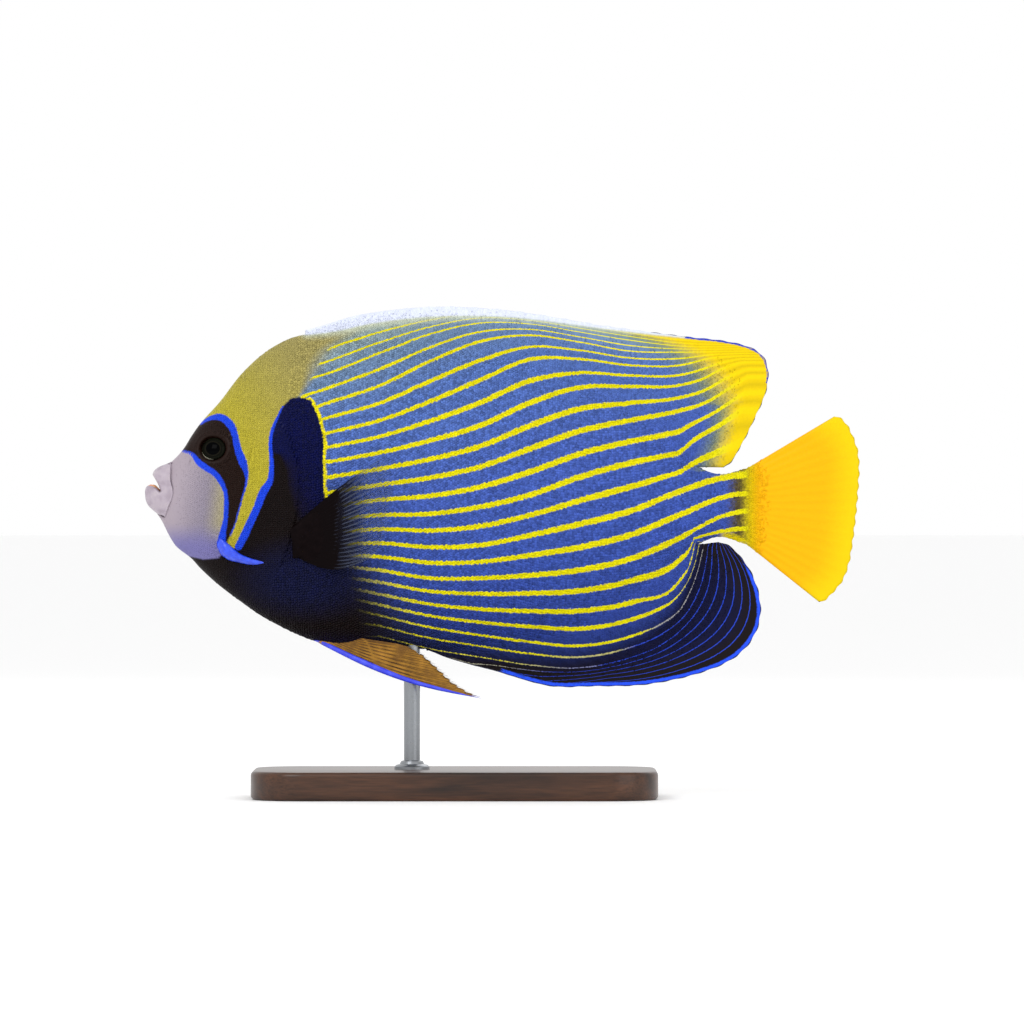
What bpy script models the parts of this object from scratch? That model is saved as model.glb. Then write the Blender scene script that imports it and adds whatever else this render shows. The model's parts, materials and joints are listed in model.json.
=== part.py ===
"""Emperor angelfish, a still life-size model held by a small display stand.

The fish swims level and faces -X, so its left side faces -Y. Every size below is in
millimetres. Outlines are (x, z) points in the fish's middle plane, read as smooth
curves, and the thickness of each form is worked out as a distance from that plane.
"""

import math

import bmesh
import bpy
from mathutils import Matrix, Vector

MM = 0.001
GAP = 0.32

# Outline of head and body without the fins, each a height along x.
BACK_POINTS = [
    (-139.9, 140.2), (-136.1, 143.9), (-133.6, 147.0), (-130.4, 152.2), (-127.0, 157.0), (-118.6, 166.4),
    (-110.2, 177.3), (-101.8, 185.4), (-93.5, 190.9), (-86.7, 193.7), (-80.0, 194.8), (-62.0, 194.4),
    (-43.0, 191.8), (-1.1, 185.3), (20.0, 179.6), (40.9, 170.4), (66.1, 153.8), (81.7, 139.0), (92.0, 135.9),
    (103.0, 138.4),
]
BELLY_POINTS = [
    (-139.9, 110.0), (-137.1, 105.7), (-130.4, 100.3), (-127.0, 96.5), (-118.6, 88.9), (-110.2, 82.6),
    (-101.8, 76.7), (-93.5, 72.1), (-85.0, 68.1), (-76.6, 65.2), (-66.0, 63.6), (-48.5, 63.2),
    (-32.5, 62.5), (-1.1, 62.2), (24.1, 68.3), (49.4, 80.9), (66.1, 92.7), (82.1, 106.4), (91.0, 109.6),
    (103.0, 106.2),
]

# How thick the body is, seen from above, and how round each edge of a slice is.
HALF_WIDTH_POINTS = [
    (-139.9, 6.6), (-134.0, 8.7), (-127.0, 11.0), (-121.0, 12.7), (-113.0, 14.6), (-105.0, 15.9),
    (-95.0, 17.5), (-85.0, 19.1), (-70.0, 20.8), (-45.0, 21.5), (-15.0, 20.3), (15.0, 17.3), (45.0, 12.6),
    (70.0, 8.2), (84.0, 5.8), (95.0, 4.3), (103.0, 3.4),
]
WIDEST_LEVEL_POINTS = [
    (-139.9, 127.0), (-121.0, 129.0), (-100.0, 130.0), (-60.0, 131.0), (0.0, 129.0), (50.0, 127.0),
    (84.0, 122.5), (103.0, 122.3),
]
BACK_ROUNDNESS_POINTS = [
    (-139.9, 0.50), (-105.0, 0.56), (-84.0, 0.66), (-60.0, 0.78), (0.0, 0.85), (80.0, 0.72), (103.0, 0.55),
]
BELLY_ROUNDNESS_POINTS = [
    (-139.9, 0.55), (-100.0, 0.62), (-60.0, 0.56), (-35.0, 0.62), (0.0, 0.80), (60.0, 0.85), (84.0, 0.70),
    (103.0, 0.55),
]
SLICE_POWER = 2.2

# Half the thickness that the body keeps where the dorsal and anal fins grow from it.
BACK_RIDGE_POINTS = [
    (-139.9, 0.0), (-92.0, 0.0), (-80.0, 1.5), (-60.0, 2.3), (20.0, 2.4), (70.0, 1.7), (82.0, 1.2),
    (88.0, 0.3), (103.0, 0.0),
]
BELLY_RIDGE_POINTS = [
    (-139.9, 0.0), (-45.0, 0.0), (-30.0, 1.4), (10.0, 2.4), (60.0, 1.9), (82.0, 1.2), (88.0, 0.3),
    (103.0, 0.0),
]

# The head ends behind the gill cover, along a cut given by its share of the body's height.
BODY_ROWS = 16
FACE_X = -139.9
GILL_CUT_POINTS = [
    (0.0, -101.0), (0.17, -96.5), (0.25, -92.0), (0.35, -88.8), (0.45, -87.4), (0.57, -88.6),
    (0.70, -91.0), (0.85, -89.0), (1.0, -84.5),
]
TAIL_CUT_X = 84.0
TAIL_END_X = 102.6

# Upper and lower jaw, with the line of the mouth between them.
UPPER_JAW_TOP = [(-146.6, 135.9), (-146.3, 137.0), (-145.1, 138.3), (-142.3, 139.8), (-140.2, 140.1)]
UPPER_JAW_LOW = [
    (-146.6, 135.0), (-146.0, 134.0), (-145.4, 133.2), (-144.6, 131.5), (-143.8, 129.0), (-143.0, 128.3),
    (-140.2, 128.1),
]
LOWER_JAW_TOP = [
    (-150.1, 128.6), (-149.6, 130.4), (-148.9, 131.1), (-147.6, 131.3), (-146.3, 130.8), (-145.1, 129.7),
    (-144.2, 128.1), (-143.0, 127.7), (-140.2, 127.6),
]
LOWER_JAW_LOW = [
    (-150.1, 126.6), (-149.7, 125.0), (-148.8, 122.8), (-147.3, 121.2), (-145.1, 119.4), (-143.2, 116.6),
    (-141.5, 112.9), (-140.2, 110.6),
]
JAW_HALF_WIDTH = 6.5

# Eyes and nostrils
EYE_X, EYE_Z = -121.2, 146.6
EYE_LENGTH, EYE_HEIGHT, EYE_DEPTH = 11.6, 10.4, 8.4
EYE_STANDS_OUT = 1.3
LID_RADIUS = 0.9
NOSTRILS = [(-128.6, 143.9), (-130.9, 141.2)]
NOSTRIL_RADIUS = 0.75

# The gill cover is a thin plate that lies on the head. Its edges are x for each height.
GILL_LOW_Z, GILL_TOP_Z = 95.0, 157.0
GILL_FRONT_POINTS = [
    (95.0, -97.3), (99.0, -97.6), (102.5, -98.8), (106.5, -106.0), (111.0, -110.0), (119.0, -109.3),
    (128.0, -108.0), (137.0, -106.8), (146.0, -103.5), (152.0, -99.6), (157.0, -95.6),
]
GILL_REAR_POINTS = [
    (95.0, -94.9), (98.0, -92.8), (105.0, -89.8), (116.6, -86.6), (129.0, -85.2), (143.0, -86.4),
    (152.0, -89.4), (157.0, -93.0),
]
GILL_FRONT_THICKNESS, GILL_REAR_THICKNESS = 0.55, 1.2

# The spine at the corner of the cheek, a flat blade between a lower and an upper edge.
CHEEK_SPINE_LOW = [(-119.2, 105.6), (-117.0, 100.9), (-110.2, 98.7), (-103.6, 98.0), (-99.4, 98.6)]
CHEEK_SPINE_TOP = [(-117.0, 108.2), (-114.2, 106.3), (-110.9, 103.0), (-105.8, 100.6), (-99.3, 98.9)]
CHEEK_SPINE_THICKNESS = 2.2

# Free edges of the fins, each from front to back.
SPINY_DORSAL_EDGE = [
    (-82.6, 196.3), (-74.1, 198.8), (-62.8, 202.3), (-49.4, 204.6), (-37.6, 205.9), (-23.3, 206.5),
    (-12.4, 206.1), (1.1, 205.1), (24.1, 201.7), (41.0, 198.7),
]
SOFT_DORSAL_EDGE = [
    (41.0, 198.7), (57.3, 196.4), (78.8, 193.6), (95.5, 191.6), (103.1, 189.7), (107.7, 187.4),
    (110.9, 183.4), (111.9, 177.3), (111.1, 171.5), (106.3, 159.6), (98.9, 145.2), (96.0, 140.6),
    (92.8, 138.7),
]
DORSAL_BASE_FRONT_X, DORSAL_SPLIT_X, DORSAL_BASE_END_X = -83.0, 18.0, 81.6
ANAL_SPINY_EDGE = [(-32.3, 61.2), (-25.0, 59.2), (-14.7, 56.2), (-1.1, 52.6), (9.0, 49.4)]
ANAL_SOFT_EDGE = [
    (9.0, 49.4), (19.1, 46.9), (38.9, 46.7), (60.3, 47.4), (72.0, 49.4), (83.8, 52.5), (93.5, 56.3),
    (98.7, 59.5), (103.5, 64.2), (106.9, 70.0), (108.6, 76.6), (108.4, 83.0), (106.9, 89.4),
    (104.0, 96.0), (99.2, 102.4), (95.3, 106.1), (90.6, 107.4),
]
ANAL_BASE_FRONT_X, ANAL_SPLIT_X, ANAL_BASE_END_X = -32.3, -9.0, 82.0
TAIL_FIN_EDGE = [
    (139.7, 160.4), (142.4, 159.5), (145.1, 156.5), (147.6, 151.5), (149.4, 146.2), (150.1, 139.3),
    (149.8, 131.8), (149.2, 124.0), (148.4, 116.0), (147.2, 106.6), (145.8, 98.6), (143.0, 91.0),
    (138.4, 85.4), (135.9, 83.0), (133.3, 81.9),
]
PECTORAL_ROOT = [(-84.6, 100.4), (-84.0, 108.0), (-85.2, 116.0)]
PECTORAL_TIPS = [
    (-56.1, 100.3), (-51.0, 104.9), (-48.9, 112.0), (-46.8, 118.7), (-47.2, 124.2), (-45.4, 130.1),
    (-47.6, 137.2), (-50.6, 142.4),
]
PECTORAL_LOW_BOW, PECTORAL_TOP_BOW = 4.4, 1.2
PECTORAL_FLARE = 12.5
PECTORAL_ROOT_THICKNESS = 3.0
PELVIC_LOW_EDGE = [
    (-77.6, 65.0), (-70.8, 61.9), (-60.5, 56.9), (-50.3, 52.7), (-40.1, 49.0), (-30.0, 45.9), (-19.9, 43.8),
    (-9.8, 42.1),
]
PELVIC_TOP_EDGE = [
    (-74.0, 66.6), (-66.0, 66.0), (-57.0, 65.6), (-48.1, 65.3), (-38.0, 63.3), (-29.4, 56.8), (-19.3, 47.6),
    (-9.6, 42.7),
]
PELVIC_ROOT_OFFSET, PELVIC_FLARE = 4.6, 8.0
PELVIC_ROOT_THICKNESS = 3.0

# How many rays or spines each fin shows, and how far they stand out of the membrane.
DORSAL_SPINES, DORSAL_RAYS = 13, 18
ANAL_SPINES, ANAL_RAYS = 3, 19
TAIL_RAYS, PECTORAL_RAYS, PELVIC_RAYS = 17, 17, 6
MEMBRANE_HALF = 0.30
MEMBRANE_NOTCH = 0.5
RAY_RELIEF = 0.45
SPINE_RELIEF = 0.7

# The stand
BASE_LENGTH, BASE_WIDTH, BASE_HEIGHT = 170.0, 92.0, 12.0
BASE_CENTRE_X = -20.0
BASE_CORNER, BASE_EDGE = 22.0, 1.6
ROD_X, ROD_RADIUS = -38.0, 3.4
ROD_SEAT_Z, ROD_TOP_Z = 5.0, 71.0


def smooth_line(points, monotone=True):
    """A smooth function through (value, result) points, held level beyond its ends."""
    xs = [point[0] for point in points]
    ys = [point[1] for point in points]
    spans = [right - left for left, right in zip(xs, xs[1:])]
    steps = [(ys[i + 1] - ys[i]) / span for i, span in enumerate(spans)]
    slopes = [steps[0]]
    for i in range(1, len(steps)):
        before, after = steps[i - 1], steps[i]
        if not monotone:
            slopes.append((before * spans[i] + after * spans[i - 1]) / (spans[i] + spans[i - 1]))
        elif before * after <= 0:
            slopes.append(0.0)
        else:
            slopes.append(2 * before * after / (before + after))
    slopes.append(steps[-1])

    def at(x):
        x = min(max(x, xs[0]), xs[-1])
        i = 0
        while i < len(spans) - 1 and x > xs[i + 1]:
            i += 1
        t = (x - xs[i]) / spans[i]
        rise = steps[i] * spans[i]
        start, end = slopes[i] * spans[i], slopes[i + 1] * spans[i]
        return ys[i] + t * (start + t * (3 * rise - 2 * start - end + t * (start + end - 2 * rise)))

    return at


def smooth_path(points):
    """A smooth curve through (x, z) points, as a function of its share of length, 0 to 1."""
    lengths = [0.0]
    for first, second in zip(points, points[1:]):
        lengths.append(lengths[-1] + math.dist(first, second))
    shares = [length / lengths[-1] for length in lengths]
    x_at = smooth_line([(share, point[0]) for share, point in zip(shares, points)], monotone=False)
    z_at = smooth_line([(share, point[1]) for share, point in zip(shares, points)], monotone=False)
    return lambda share: (x_at(share), z_at(share))


BACK = smooth_line(BACK_POINTS)
BELLY = smooth_line(BELLY_POINTS)
HALF_WIDTH = smooth_line(HALF_WIDTH_POINTS)
WIDEST_LEVEL = smooth_line(WIDEST_LEVEL_POINTS)
BACK_ROUNDNESS = smooth_line(BACK_ROUNDNESS_POINTS)
BELLY_ROUNDNESS = smooth_line(BELLY_ROUNDNESS_POINTS)
BACK_RIDGE = smooth_line(BACK_RIDGE_POINTS)
BELLY_RIDGE = smooth_line(BELLY_RIDGE_POINTS)
GILL_CUT = smooth_line(GILL_CUT_POINTS)


def mix(low, high, share):
    return low + (high - low) * share


def half_width(x, z):
    """The body's surface: its distance from the middle plane at (x, z)."""
    level = WIDEST_LEVEL(x)
    if z > level:
        edge, roundness, ridge = BACK(x), BACK_ROUNDNESS(x), BACK_RIDGE(x)
    else:
        edge, roundness, ridge = BELLY(x), BELLY_ROUNDNESS(x), BELLY_RIDGE(x)
    share = min((z - level) / (edge - level), 1.0)
    flesh = HALF_WIDTH(x) * (1.0 - share ** SLICE_POWER) ** roundness
    return math.hypot(flesh, ridge)


def underside(x, y):
    """The height of the body's underside at a distance y from the middle plane."""
    low, high = BELLY(x), WIDEST_LEVEL(x)
    for _ in range(30):
        middle = 0.5 * (low + high)
        if half_width(x, middle) < y:
            low = middle
        else:
            high = middle
    return high


def surface_frame(x, z, side, sunk):
    """A matrix at a point of the flank, sunk into it, with its Z axis along the surface's normal."""
    step = 0.5
    slope_x = (half_width(x + step, z) - half_width(x - step, z)) / (2 * step)
    slope_z = (half_width(x, z + step) - half_width(x, z - step)) / (2 * step)
    normal = Vector((-slope_x, side, -slope_z)).normalized()
    along = (Vector((1, 0, 0)) - normal * normal.x).normalized()
    across = normal.cross(along)
    place = Vector((x, side * half_width(x, z), z)) - normal * sunk
    frame = Matrix((along, across, normal)).transposed().to_4x4()
    return Matrix.Translation(place) @ frame


def material(name, colour, roughness, metallic=0.0):
    """A Principled material with a plain colour."""
    made = bpy.data.materials.new(name)
    made.use_nodes = True
    shader = made.node_tree.nodes["Principled BSDF"]
    shader.inputs["Base Color"].default_value = (*colour, 1.0)
    shader.inputs["Roughness"].default_value = roughness
    shader.inputs["Metallic"].default_value = metallic
    made.diffuse_color = (*colour, 1.0)
    return made


def add_object(name, mesh, look, home):
    """An object made of a bmesh in millimetres, with its faces pointing outwards."""
    bmesh.ops.remove_doubles(mesh, verts=mesh.verts[:], dist=1e-5)
    if mesh.calc_volume(signed=True) < 0:
        bmesh.ops.reverse_faces(mesh, faces=mesh.faces[:])
    bmesh.ops.scale(mesh, vec=(MM, MM, MM), verts=mesh.verts[:])
    data = bpy.data.meshes.new(name)
    mesh.to_mesh(data)
    mesh.free()
    data.materials.append(look)
    data.shade_smooth()
    data.set_sharp_from_angle(angle=math.radians(40))
    thing = bpy.data.objects.new(name, data)
    home.objects.link(thing)
    return thing


def slab(name, near, far, columns, rows, look, home):
    """A closed solid between two faces, near(u, v) and far(u, v), split alike into triangles."""
    mesh = bmesh.new()
    bmesh.ops.create_grid(mesh, x_segments=columns, y_segments=rows, size=0.5)
    shares = {vert: (vert.co.x + 0.5, vert.co.y + 0.5) for vert in mesh.verts}
    bmesh.ops.triangulate(mesh, faces=mesh.faces[:])
    front = list(mesh.verts)
    made = bmesh.ops.extrude_face_region(mesh, geom=mesh.faces[:])["geom"]
    back = [item for item in made if isinstance(item, bmesh.types.BMVert)]
    by_place = {(round(vert.co.x, 5), round(vert.co.y, 5)): shares[vert] for vert in front}
    back_shares = {vert: by_place[(round(vert.co.x, 5), round(vert.co.y, 5))] for vert in back}
    for vert in front:
        vert.co = near(*shares[vert])
    for vert in back:
        vert.co = far(*back_shares[vert])
    return add_object(name, mesh, look, home)


def mirrored_slab(name, place, thickness, columns, rows, look, home):
    """A solid across the middle plane: place(u, v) lays it out, thickness is its half width."""
    def near(u, v):
        x, z = place(u, v)
        return x, -thickness(x, z, u, v), z

    def far(u, v):
        x, z = place(u, v)
        return x, thickness(x, z, u, v), z

    return slab(name, near, far, columns, rows, look, home)


def round_share(v):
    """Even steps round a curved slice, as shares of its height."""
    return 0.5 - 0.5 * math.cos(math.pi * v)


def make_body(looks, home):
    """Head, torso and tail root: one surface, parted by thin cuts."""
    def body_width(x, z, u, v):
        return half_width(x, z)

    def head_place(u, v):
        share = round_share(v)
        x = mix(FACE_X, GILL_CUT(share) - GAP, u ** 1.15)
        return x, mix(BELLY(x), BACK(x), share)

    def torso_place(u, v):
        share = round_share(v)
        x = mix(GILL_CUT(share), TAIL_CUT_X, u)
        return x, mix(BELLY(x), BACK(x), share)

    def tail_root_place(u, v):
        x = mix(TAIL_CUT_X + GAP, TAIL_END_X, u)
        return x, mix(BELLY(x), BACK(x), round_share(v))

    head = mirrored_slab("head", head_place, body_width, 18, BODY_ROWS, looks["head"], home)
    torso = mirrored_slab("torso", torso_place, body_width, 30, BODY_ROWS, looks["body"], home)
    mirrored_slab("tail_root", tail_root_place, body_width, 5, BODY_ROWS, looks["body"], home)
    return head, torso


def make_jaw(name, top_points, low_points, look, home):
    """One jaw with its lip, blunt in front and flat behind."""
    top, low = smooth_line(top_points), smooth_line(low_points)
    tip, root = top_points[0][0], top_points[-1][0]

    def place(u, v):
        x = mix(tip, root, 1.0 - math.cos(0.5 * math.pi * u))
        return x, mix(low(x), top(x), round_share(v))

    def thickness(x, z, u, v):
        forward = (root - x) / (root - tip)
        widest = JAW_HALF_WIDTH * (1.0 - 0.96 * forward ** 2.6) ** 0.5
        share = 2.0 * v - 1.0
        return widest * math.cos(0.5 * math.pi * share) ** 0.8

    return mirrored_slab(name, place, thickness, 8, 8, look, home)


def carve(target, others, operation, solver="EXACT"):
    """Join the other objects to the target, or cut them from it, and keep its largest closed body."""
    group = bpy.data.collections.new("carving")
    bpy.context.scene.collection.children.link(group)
    for other in others:
        group.objects.link(other)
    modifier = target.modifiers.new(operation.title(), "BOOLEAN")
    modifier.operation = operation
    modifier.solver = solver
    modifier.operand_type = "COLLECTION"
    modifier.collection = group
    graph = bpy.context.evaluated_depsgraph_get()
    result = bpy.data.meshes.new_from_object(target.evaluated_get(graph))
    target.modifiers.remove(modifier)
    old = target.data
    target.data = result
    bpy.data.meshes.remove(old)
    for other in others:
        bpy.data.objects.remove(other)
    bpy.data.collections.remove(group)
    keep_largest(target)


def keep_largest(target):
    """Drop every loose scrap of a mesh but its largest closed surface."""
    mesh = bmesh.new()
    mesh.from_mesh(target.data)
    bmesh.ops.triangulate(mesh, faces=mesh.faces[:])
    bmesh.ops.dissolve_degenerate(mesh, edges=mesh.edges[:], dist=1e-7)
    left = set(mesh.verts)
    islands = []
    while left:
        island, front = set(), [left.pop()]
        while front:
            vert = front.pop()
            island.add(vert)
            for edge in vert.link_edges:
                other = edge.other_vert(vert)
                if other in left:
                    left.remove(other)
                    front.append(other)
        islands.append(island)
    islands.sort(key=len)
    for scrap in islands[:-1]:
        bmesh.ops.delete(mesh, geom=list(scrap), context="VERTS")
    mesh.to_mesh(target.data)
    mesh.free()


def ball(name, frame, radii, segments, rings, look, home):
    """A ball stretched along the axes of a frame, with its poles along the frame's Z."""
    mesh = bmesh.new()
    stretch = Matrix.Diagonal((*radii, 1.0))
    bmesh.ops.create_uvsphere(mesh, u_segments=segments, v_segments=rings, radius=1.0, matrix=frame @ stretch)
    return add_object(name, mesh, look, home)


def lid_ring(name, frame, look, home):
    """The raised ring of skin round the eye."""
    bpy.ops.mesh.primitive_torus_add(
        major_segments=20, minor_segments=6, major_radius=1.0, minor_radius=LID_RADIUS / (0.5 * EYE_LENGTH))
    ring = bpy.context.object
    data = ring.data
    bpy.data.objects.remove(ring)
    mesh = bmesh.new()
    mesh.from_mesh(data)
    bpy.data.meshes.remove(data)
    half_length, half_height = 0.5 * EYE_LENGTH + 0.2, 0.5 * EYE_HEIGHT + 0.2
    shape = Matrix.Diagonal((half_length, half_height, half_length, 1.0))
    bmesh.ops.transform(mesh, matrix=frame @ shape, verts=mesh.verts[:])
    return add_object(name, mesh, look, home)


def make_eyes(head, looks, home, cutters):
    """Both eyes, their sockets and lids, and the nostrils."""
    lids, holes = [], []
    for side, side_name in ((-1, "left"), (1, "right")):
        sunk = 0.5 * EYE_DEPTH - EYE_STANDS_OUT
        frame = surface_frame(EYE_X, EYE_Z, side, sunk)
        radii = (0.5 * EYE_LENGTH, 0.5 * EYE_HEIGHT, 0.5 * EYE_DEPTH)
        ball("eye_" + side_name, frame, radii, 16, 9, looks["eye"], home)
        socket = tuple(radius + GAP for radius in radii)
        holes.append(ball("socket_" + side_name, frame, socket, 16, 9, looks["head"], cutters))
        lid_frame = surface_frame(EYE_X, EYE_Z, side, 0.0)
        lids.append(lid_ring("lid_" + side_name, lid_frame, looks["head"], cutters))
        for number, (x, z) in enumerate(NOSTRILS):
            pit = surface_frame(x, z, side, 0.1)
            size = (NOSTRIL_RADIUS,) * 3
            holes.append(ball(f"nostril_{side_name}_{number}", pit, size, 8, 5, looks["head"], cutters))
    carve(head, lids, "UNION")
    carve(head, holes, "DIFFERENCE")


def side_sheet(name, side, place, inner, thickness, columns, rows, look, home):
    """A sheet beside the body: inner(x, z, u, v) is its near distance from the middle plane."""
    def near(u, v):
        x, z = place(u, v)
        return x, side * inner(x, z, u, v), z

    def far(u, v):
        x, z = place(u, v)
        return x, side * (inner(x, z, u, v) + thickness(u, v)), z

    return slab(name, near, far, columns, rows, look, home)


def make_gill_cover(side, side_name, look, home):
    """The gill cover, a plate that stands out a little at its free rear edge."""
    front, rear = smooth_line(GILL_FRONT_POINTS), smooth_line(GILL_REAR_POINTS)

    def place(u, v):
        z = mix(GILL_LOW_Z, GILL_TOP_Z, v)
        return mix(front(z), rear(z), u), z

    def inner(x, z, u, v):
        return half_width(x, z) + GAP

    def thickness(u, v):
        return mix(GILL_FRONT_THICKNESS, GILL_REAR_THICKNESS, u)

    side_sheet("gill_cover_" + side_name, side, place, inner, thickness, 5, 12, look, home)


def make_cheek_spine(side, side_name, look, home):
    """The strong spine at the corner of the cheek, thickest along its middle."""
    low, top = smooth_path(CHEEK_SPINE_LOW), smooth_path(CHEEK_SPINE_TOP)

    def place(u, v):
        x0, z0 = low(u)
        x1, z1 = top(u)
        return mix(x0, x1, v), mix(z0, z1, v)

    def inner(x, z, u, v):
        return half_width(x, z) + GAP

    def thickness(u, v):
        return 2 * MEMBRANE_HALF + CHEEK_SPINE_THICKNESS * (1.0 - u ** 1.5) * math.sin(math.pi * v)

    side_sheet("cheek_spine_" + side_name, side, place, inner, thickness, 8, 4, look, home)


def on_ray(u, rays):
    """True on the columns of a fin that run along a ray, two columns to each ray."""
    return round(u * rays * 2) % 2 == 1


def fin_half(u, v, rays, root, relief):
    """Half the thickness of a fin in the middle plane, thick at its root, with its rays raised."""
    half = mix(MEMBRANE_HALF, root, (1.0 - v) ** 1.6)
    if on_ray(u, rays) and v > 0:
        half += relief * (1.0 - 0.6 * v)
    return half


def make_fin(name, base, edge, root, rays, rows, relief, look, home):
    """A fin in the middle plane, its rays running from base(u) to edge(u).

    Between the tips of its rays the membrane draws back by MEMBRANE_NOTCH.
    """
    def place(u, v):
        x0, z0 = base(u)
        x1, z1 = edge(u)
        if v == 1.0 and not on_ray(u, rays) and 0.0 < u < 1.0:
            v -= MEMBRANE_NOTCH / math.dist((x0, z0), (x1, z1))
        return mix(x0, x1, v), mix(z0, z1, v)

    def thickness(x, z, u, v):
        return fin_half(u, v, rays, root(*base(u)), relief)

    return mirrored_slab(name, place, thickness, rays * 2, rows, look, home)


def base_line(outline, first_x, last_x, outwards):
    """A fin's base, a gap clear of the body's outline, as a function of 0 to 1."""
    def at(u):
        x = mix(first_x, last_x, u)
        slope = (outline(x + 0.5) - outline(x - 0.5))
        normal = Vector((-slope, 1.0)).normalized() * GAP * outwards
        return x + normal.x, outline(x) + normal.y
    return at


def cut_short(path, start, end):
    """The same path without a short piece at its start or end, given in shares of its length."""
    return lambda u: path(mix(start, 1.0 - end, u))


def make_middle_fins(looks, home):
    """The dorsal and anal fins, each in a spiny and a soft part, and the tail fin."""
    def back_root(x, z):
        return max(BACK_RIDGE(x), MEMBRANE_HALF)

    def belly_root(x, z):
        return max(BELLY_RIDGE(x), MEMBRANE_HALF)

    half_gap = 0.5 * GAP
    make_fin(
        "dorsal_fin_spiny", base_line(BACK, DORSAL_BASE_FRONT_X, DORSAL_SPLIT_X - half_gap, 1),
        cut_short(smooth_path(SPINY_DORSAL_EDGE), 0.0, 0.0015), back_root, DORSAL_SPINES, 4, SPINE_RELIEF,
        looks["dorsal"], home)
    make_fin(
        "dorsal_fin_soft", base_line(BACK, DORSAL_SPLIT_X + half_gap, DORSAL_BASE_END_X, 1),
        cut_short(smooth_path(SOFT_DORSAL_EDGE), 0.0015, 0.0), back_root, DORSAL_RAYS, 6, RAY_RELIEF,
        looks["lobe"], home)
    make_fin(
        "anal_fin_spiny", base_line(BELLY, ANAL_BASE_FRONT_X, ANAL_SPLIT_X - half_gap, -1),
        cut_short(smooth_path(ANAL_SPINY_EDGE), 0.0, 0.004), belly_root, ANAL_SPINES, 4, SPINE_RELIEF,
        looks["anal"], home)
    make_fin(
        "anal_fin_soft", base_line(BELLY, ANAL_SPLIT_X + half_gap, ANAL_BASE_END_X, -1),
        cut_short(smooth_path(ANAL_SOFT_EDGE), 0.001, 0.0), belly_root, ANAL_RAYS, 6, RAY_RELIEF,
        looks["anal"], home)

    tail_edge = smooth_path(TAIL_FIN_EDGE)

    def tail_base(u):
        x = TAIL_END_X + GAP
        return x, mix(BACK(x), BELLY(x), u)

    def tail_fin_root(x, z):
        return max(half_width(x, z), 0.5)

    make_fin("tail_fin", tail_base, tail_edge, tail_fin_root, TAIL_RAYS, 7, RAY_RELIEF, looks["tail"], home)


def make_pectoral(side, side_name, look, home):
    """The fin behind the gill cover: a fleshy root on the flank and a blade that flares away."""
    root, tips = smooth_path(PECTORAL_ROOT), smooth_path(PECTORAL_TIPS)

    def place(u, v):
        x0, z0 = root(v)
        x1, z1 = tips(v)
        if u == 1.0 and not on_ray(v, PECTORAL_RAYS):
            x1 -= 3 * MEMBRANE_NOTCH
        bow = math.sin(math.pi * u) * (PECTORAL_TOP_BOW * v ** 2 - PECTORAL_LOW_BOW * (1.0 - v) ** 2)
        return mix(x0, x1, u), mix(z0, z1, u) + bow

    def inner(x, z, u, v):
        free = max(0.0, u - 0.12) / 0.88
        return half_width(x, z) + GAP + PECTORAL_FLARE * free ** 1.4

    def thickness(u, v):
        thick = mix(2 * MEMBRANE_HALF, PECTORAL_ROOT_THICKNESS, max(0.0, 1.0 - u / 0.45) ** 1.5)
        if on_ray(v, PECTORAL_RAYS) and u > 0:
            thick += RAY_RELIEF * (1.0 - 0.6 * u)
        return thick

    side_sheet("pectoral_fin_" + side_name, side, place, inner, thickness, 8, PECTORAL_RAYS * 2, look, home)


def make_pelvic(side, side_name, look, home):
    """The long fin under the breast, with a strong first ray that runs out to a point."""
    low_edge, top_edge = smooth_path(PELVIC_LOW_EDGE), smooth_path(PELVIC_TOP_EDGE)

    def thickness(u, v):
        thick = mix(2 * MEMBRANE_HALF, PELVIC_ROOT_THICKNESS, max(0.0, 1.0 - u / 0.5) ** 1.4)
        if on_ray(v, PELVIC_RAYS):
            thick += RAY_RELIEF * (1.0 - 0.6 * u) * min(1.0, 8.0 * u)
        return thick

    def near_offset(u):
        return PELVIC_ROOT_OFFSET - 0.5 * PELVIC_ROOT_THICKNESS + PELVIC_FLARE * u ** 1.3

    def point(u, v, y):
        x0, z0 = low_edge(u)
        x1, z1 = top_edge(u)
        x, z = mix(x0, x1, v), mix(z0, z1, v)
        return x, side * y, min(z, underside(x, y) - GAP - 0.08)

    def near(u, v):
        return point(u, v, near_offset(u))

    def far(u, v):
        return point(u, v, near_offset(u) + thickness(u, v))

    slab("pelvic_fin_" + side_name, near, far, 12, PELVIC_RAYS * 2, look, home)


def cylinder(name, x, radius, low, high, sides, look, home):
    """An upright round bar."""
    mesh = bmesh.new()
    middle = Matrix.Translation((x, 0.0, 0.5 * (low + high)))
    bmesh.ops.create_cone(
        mesh, cap_ends=True, segments=sides, radius1=radius, radius2=radius, depth=high - low, matrix=middle)
    return add_object(name, mesh, look, home)


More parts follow.
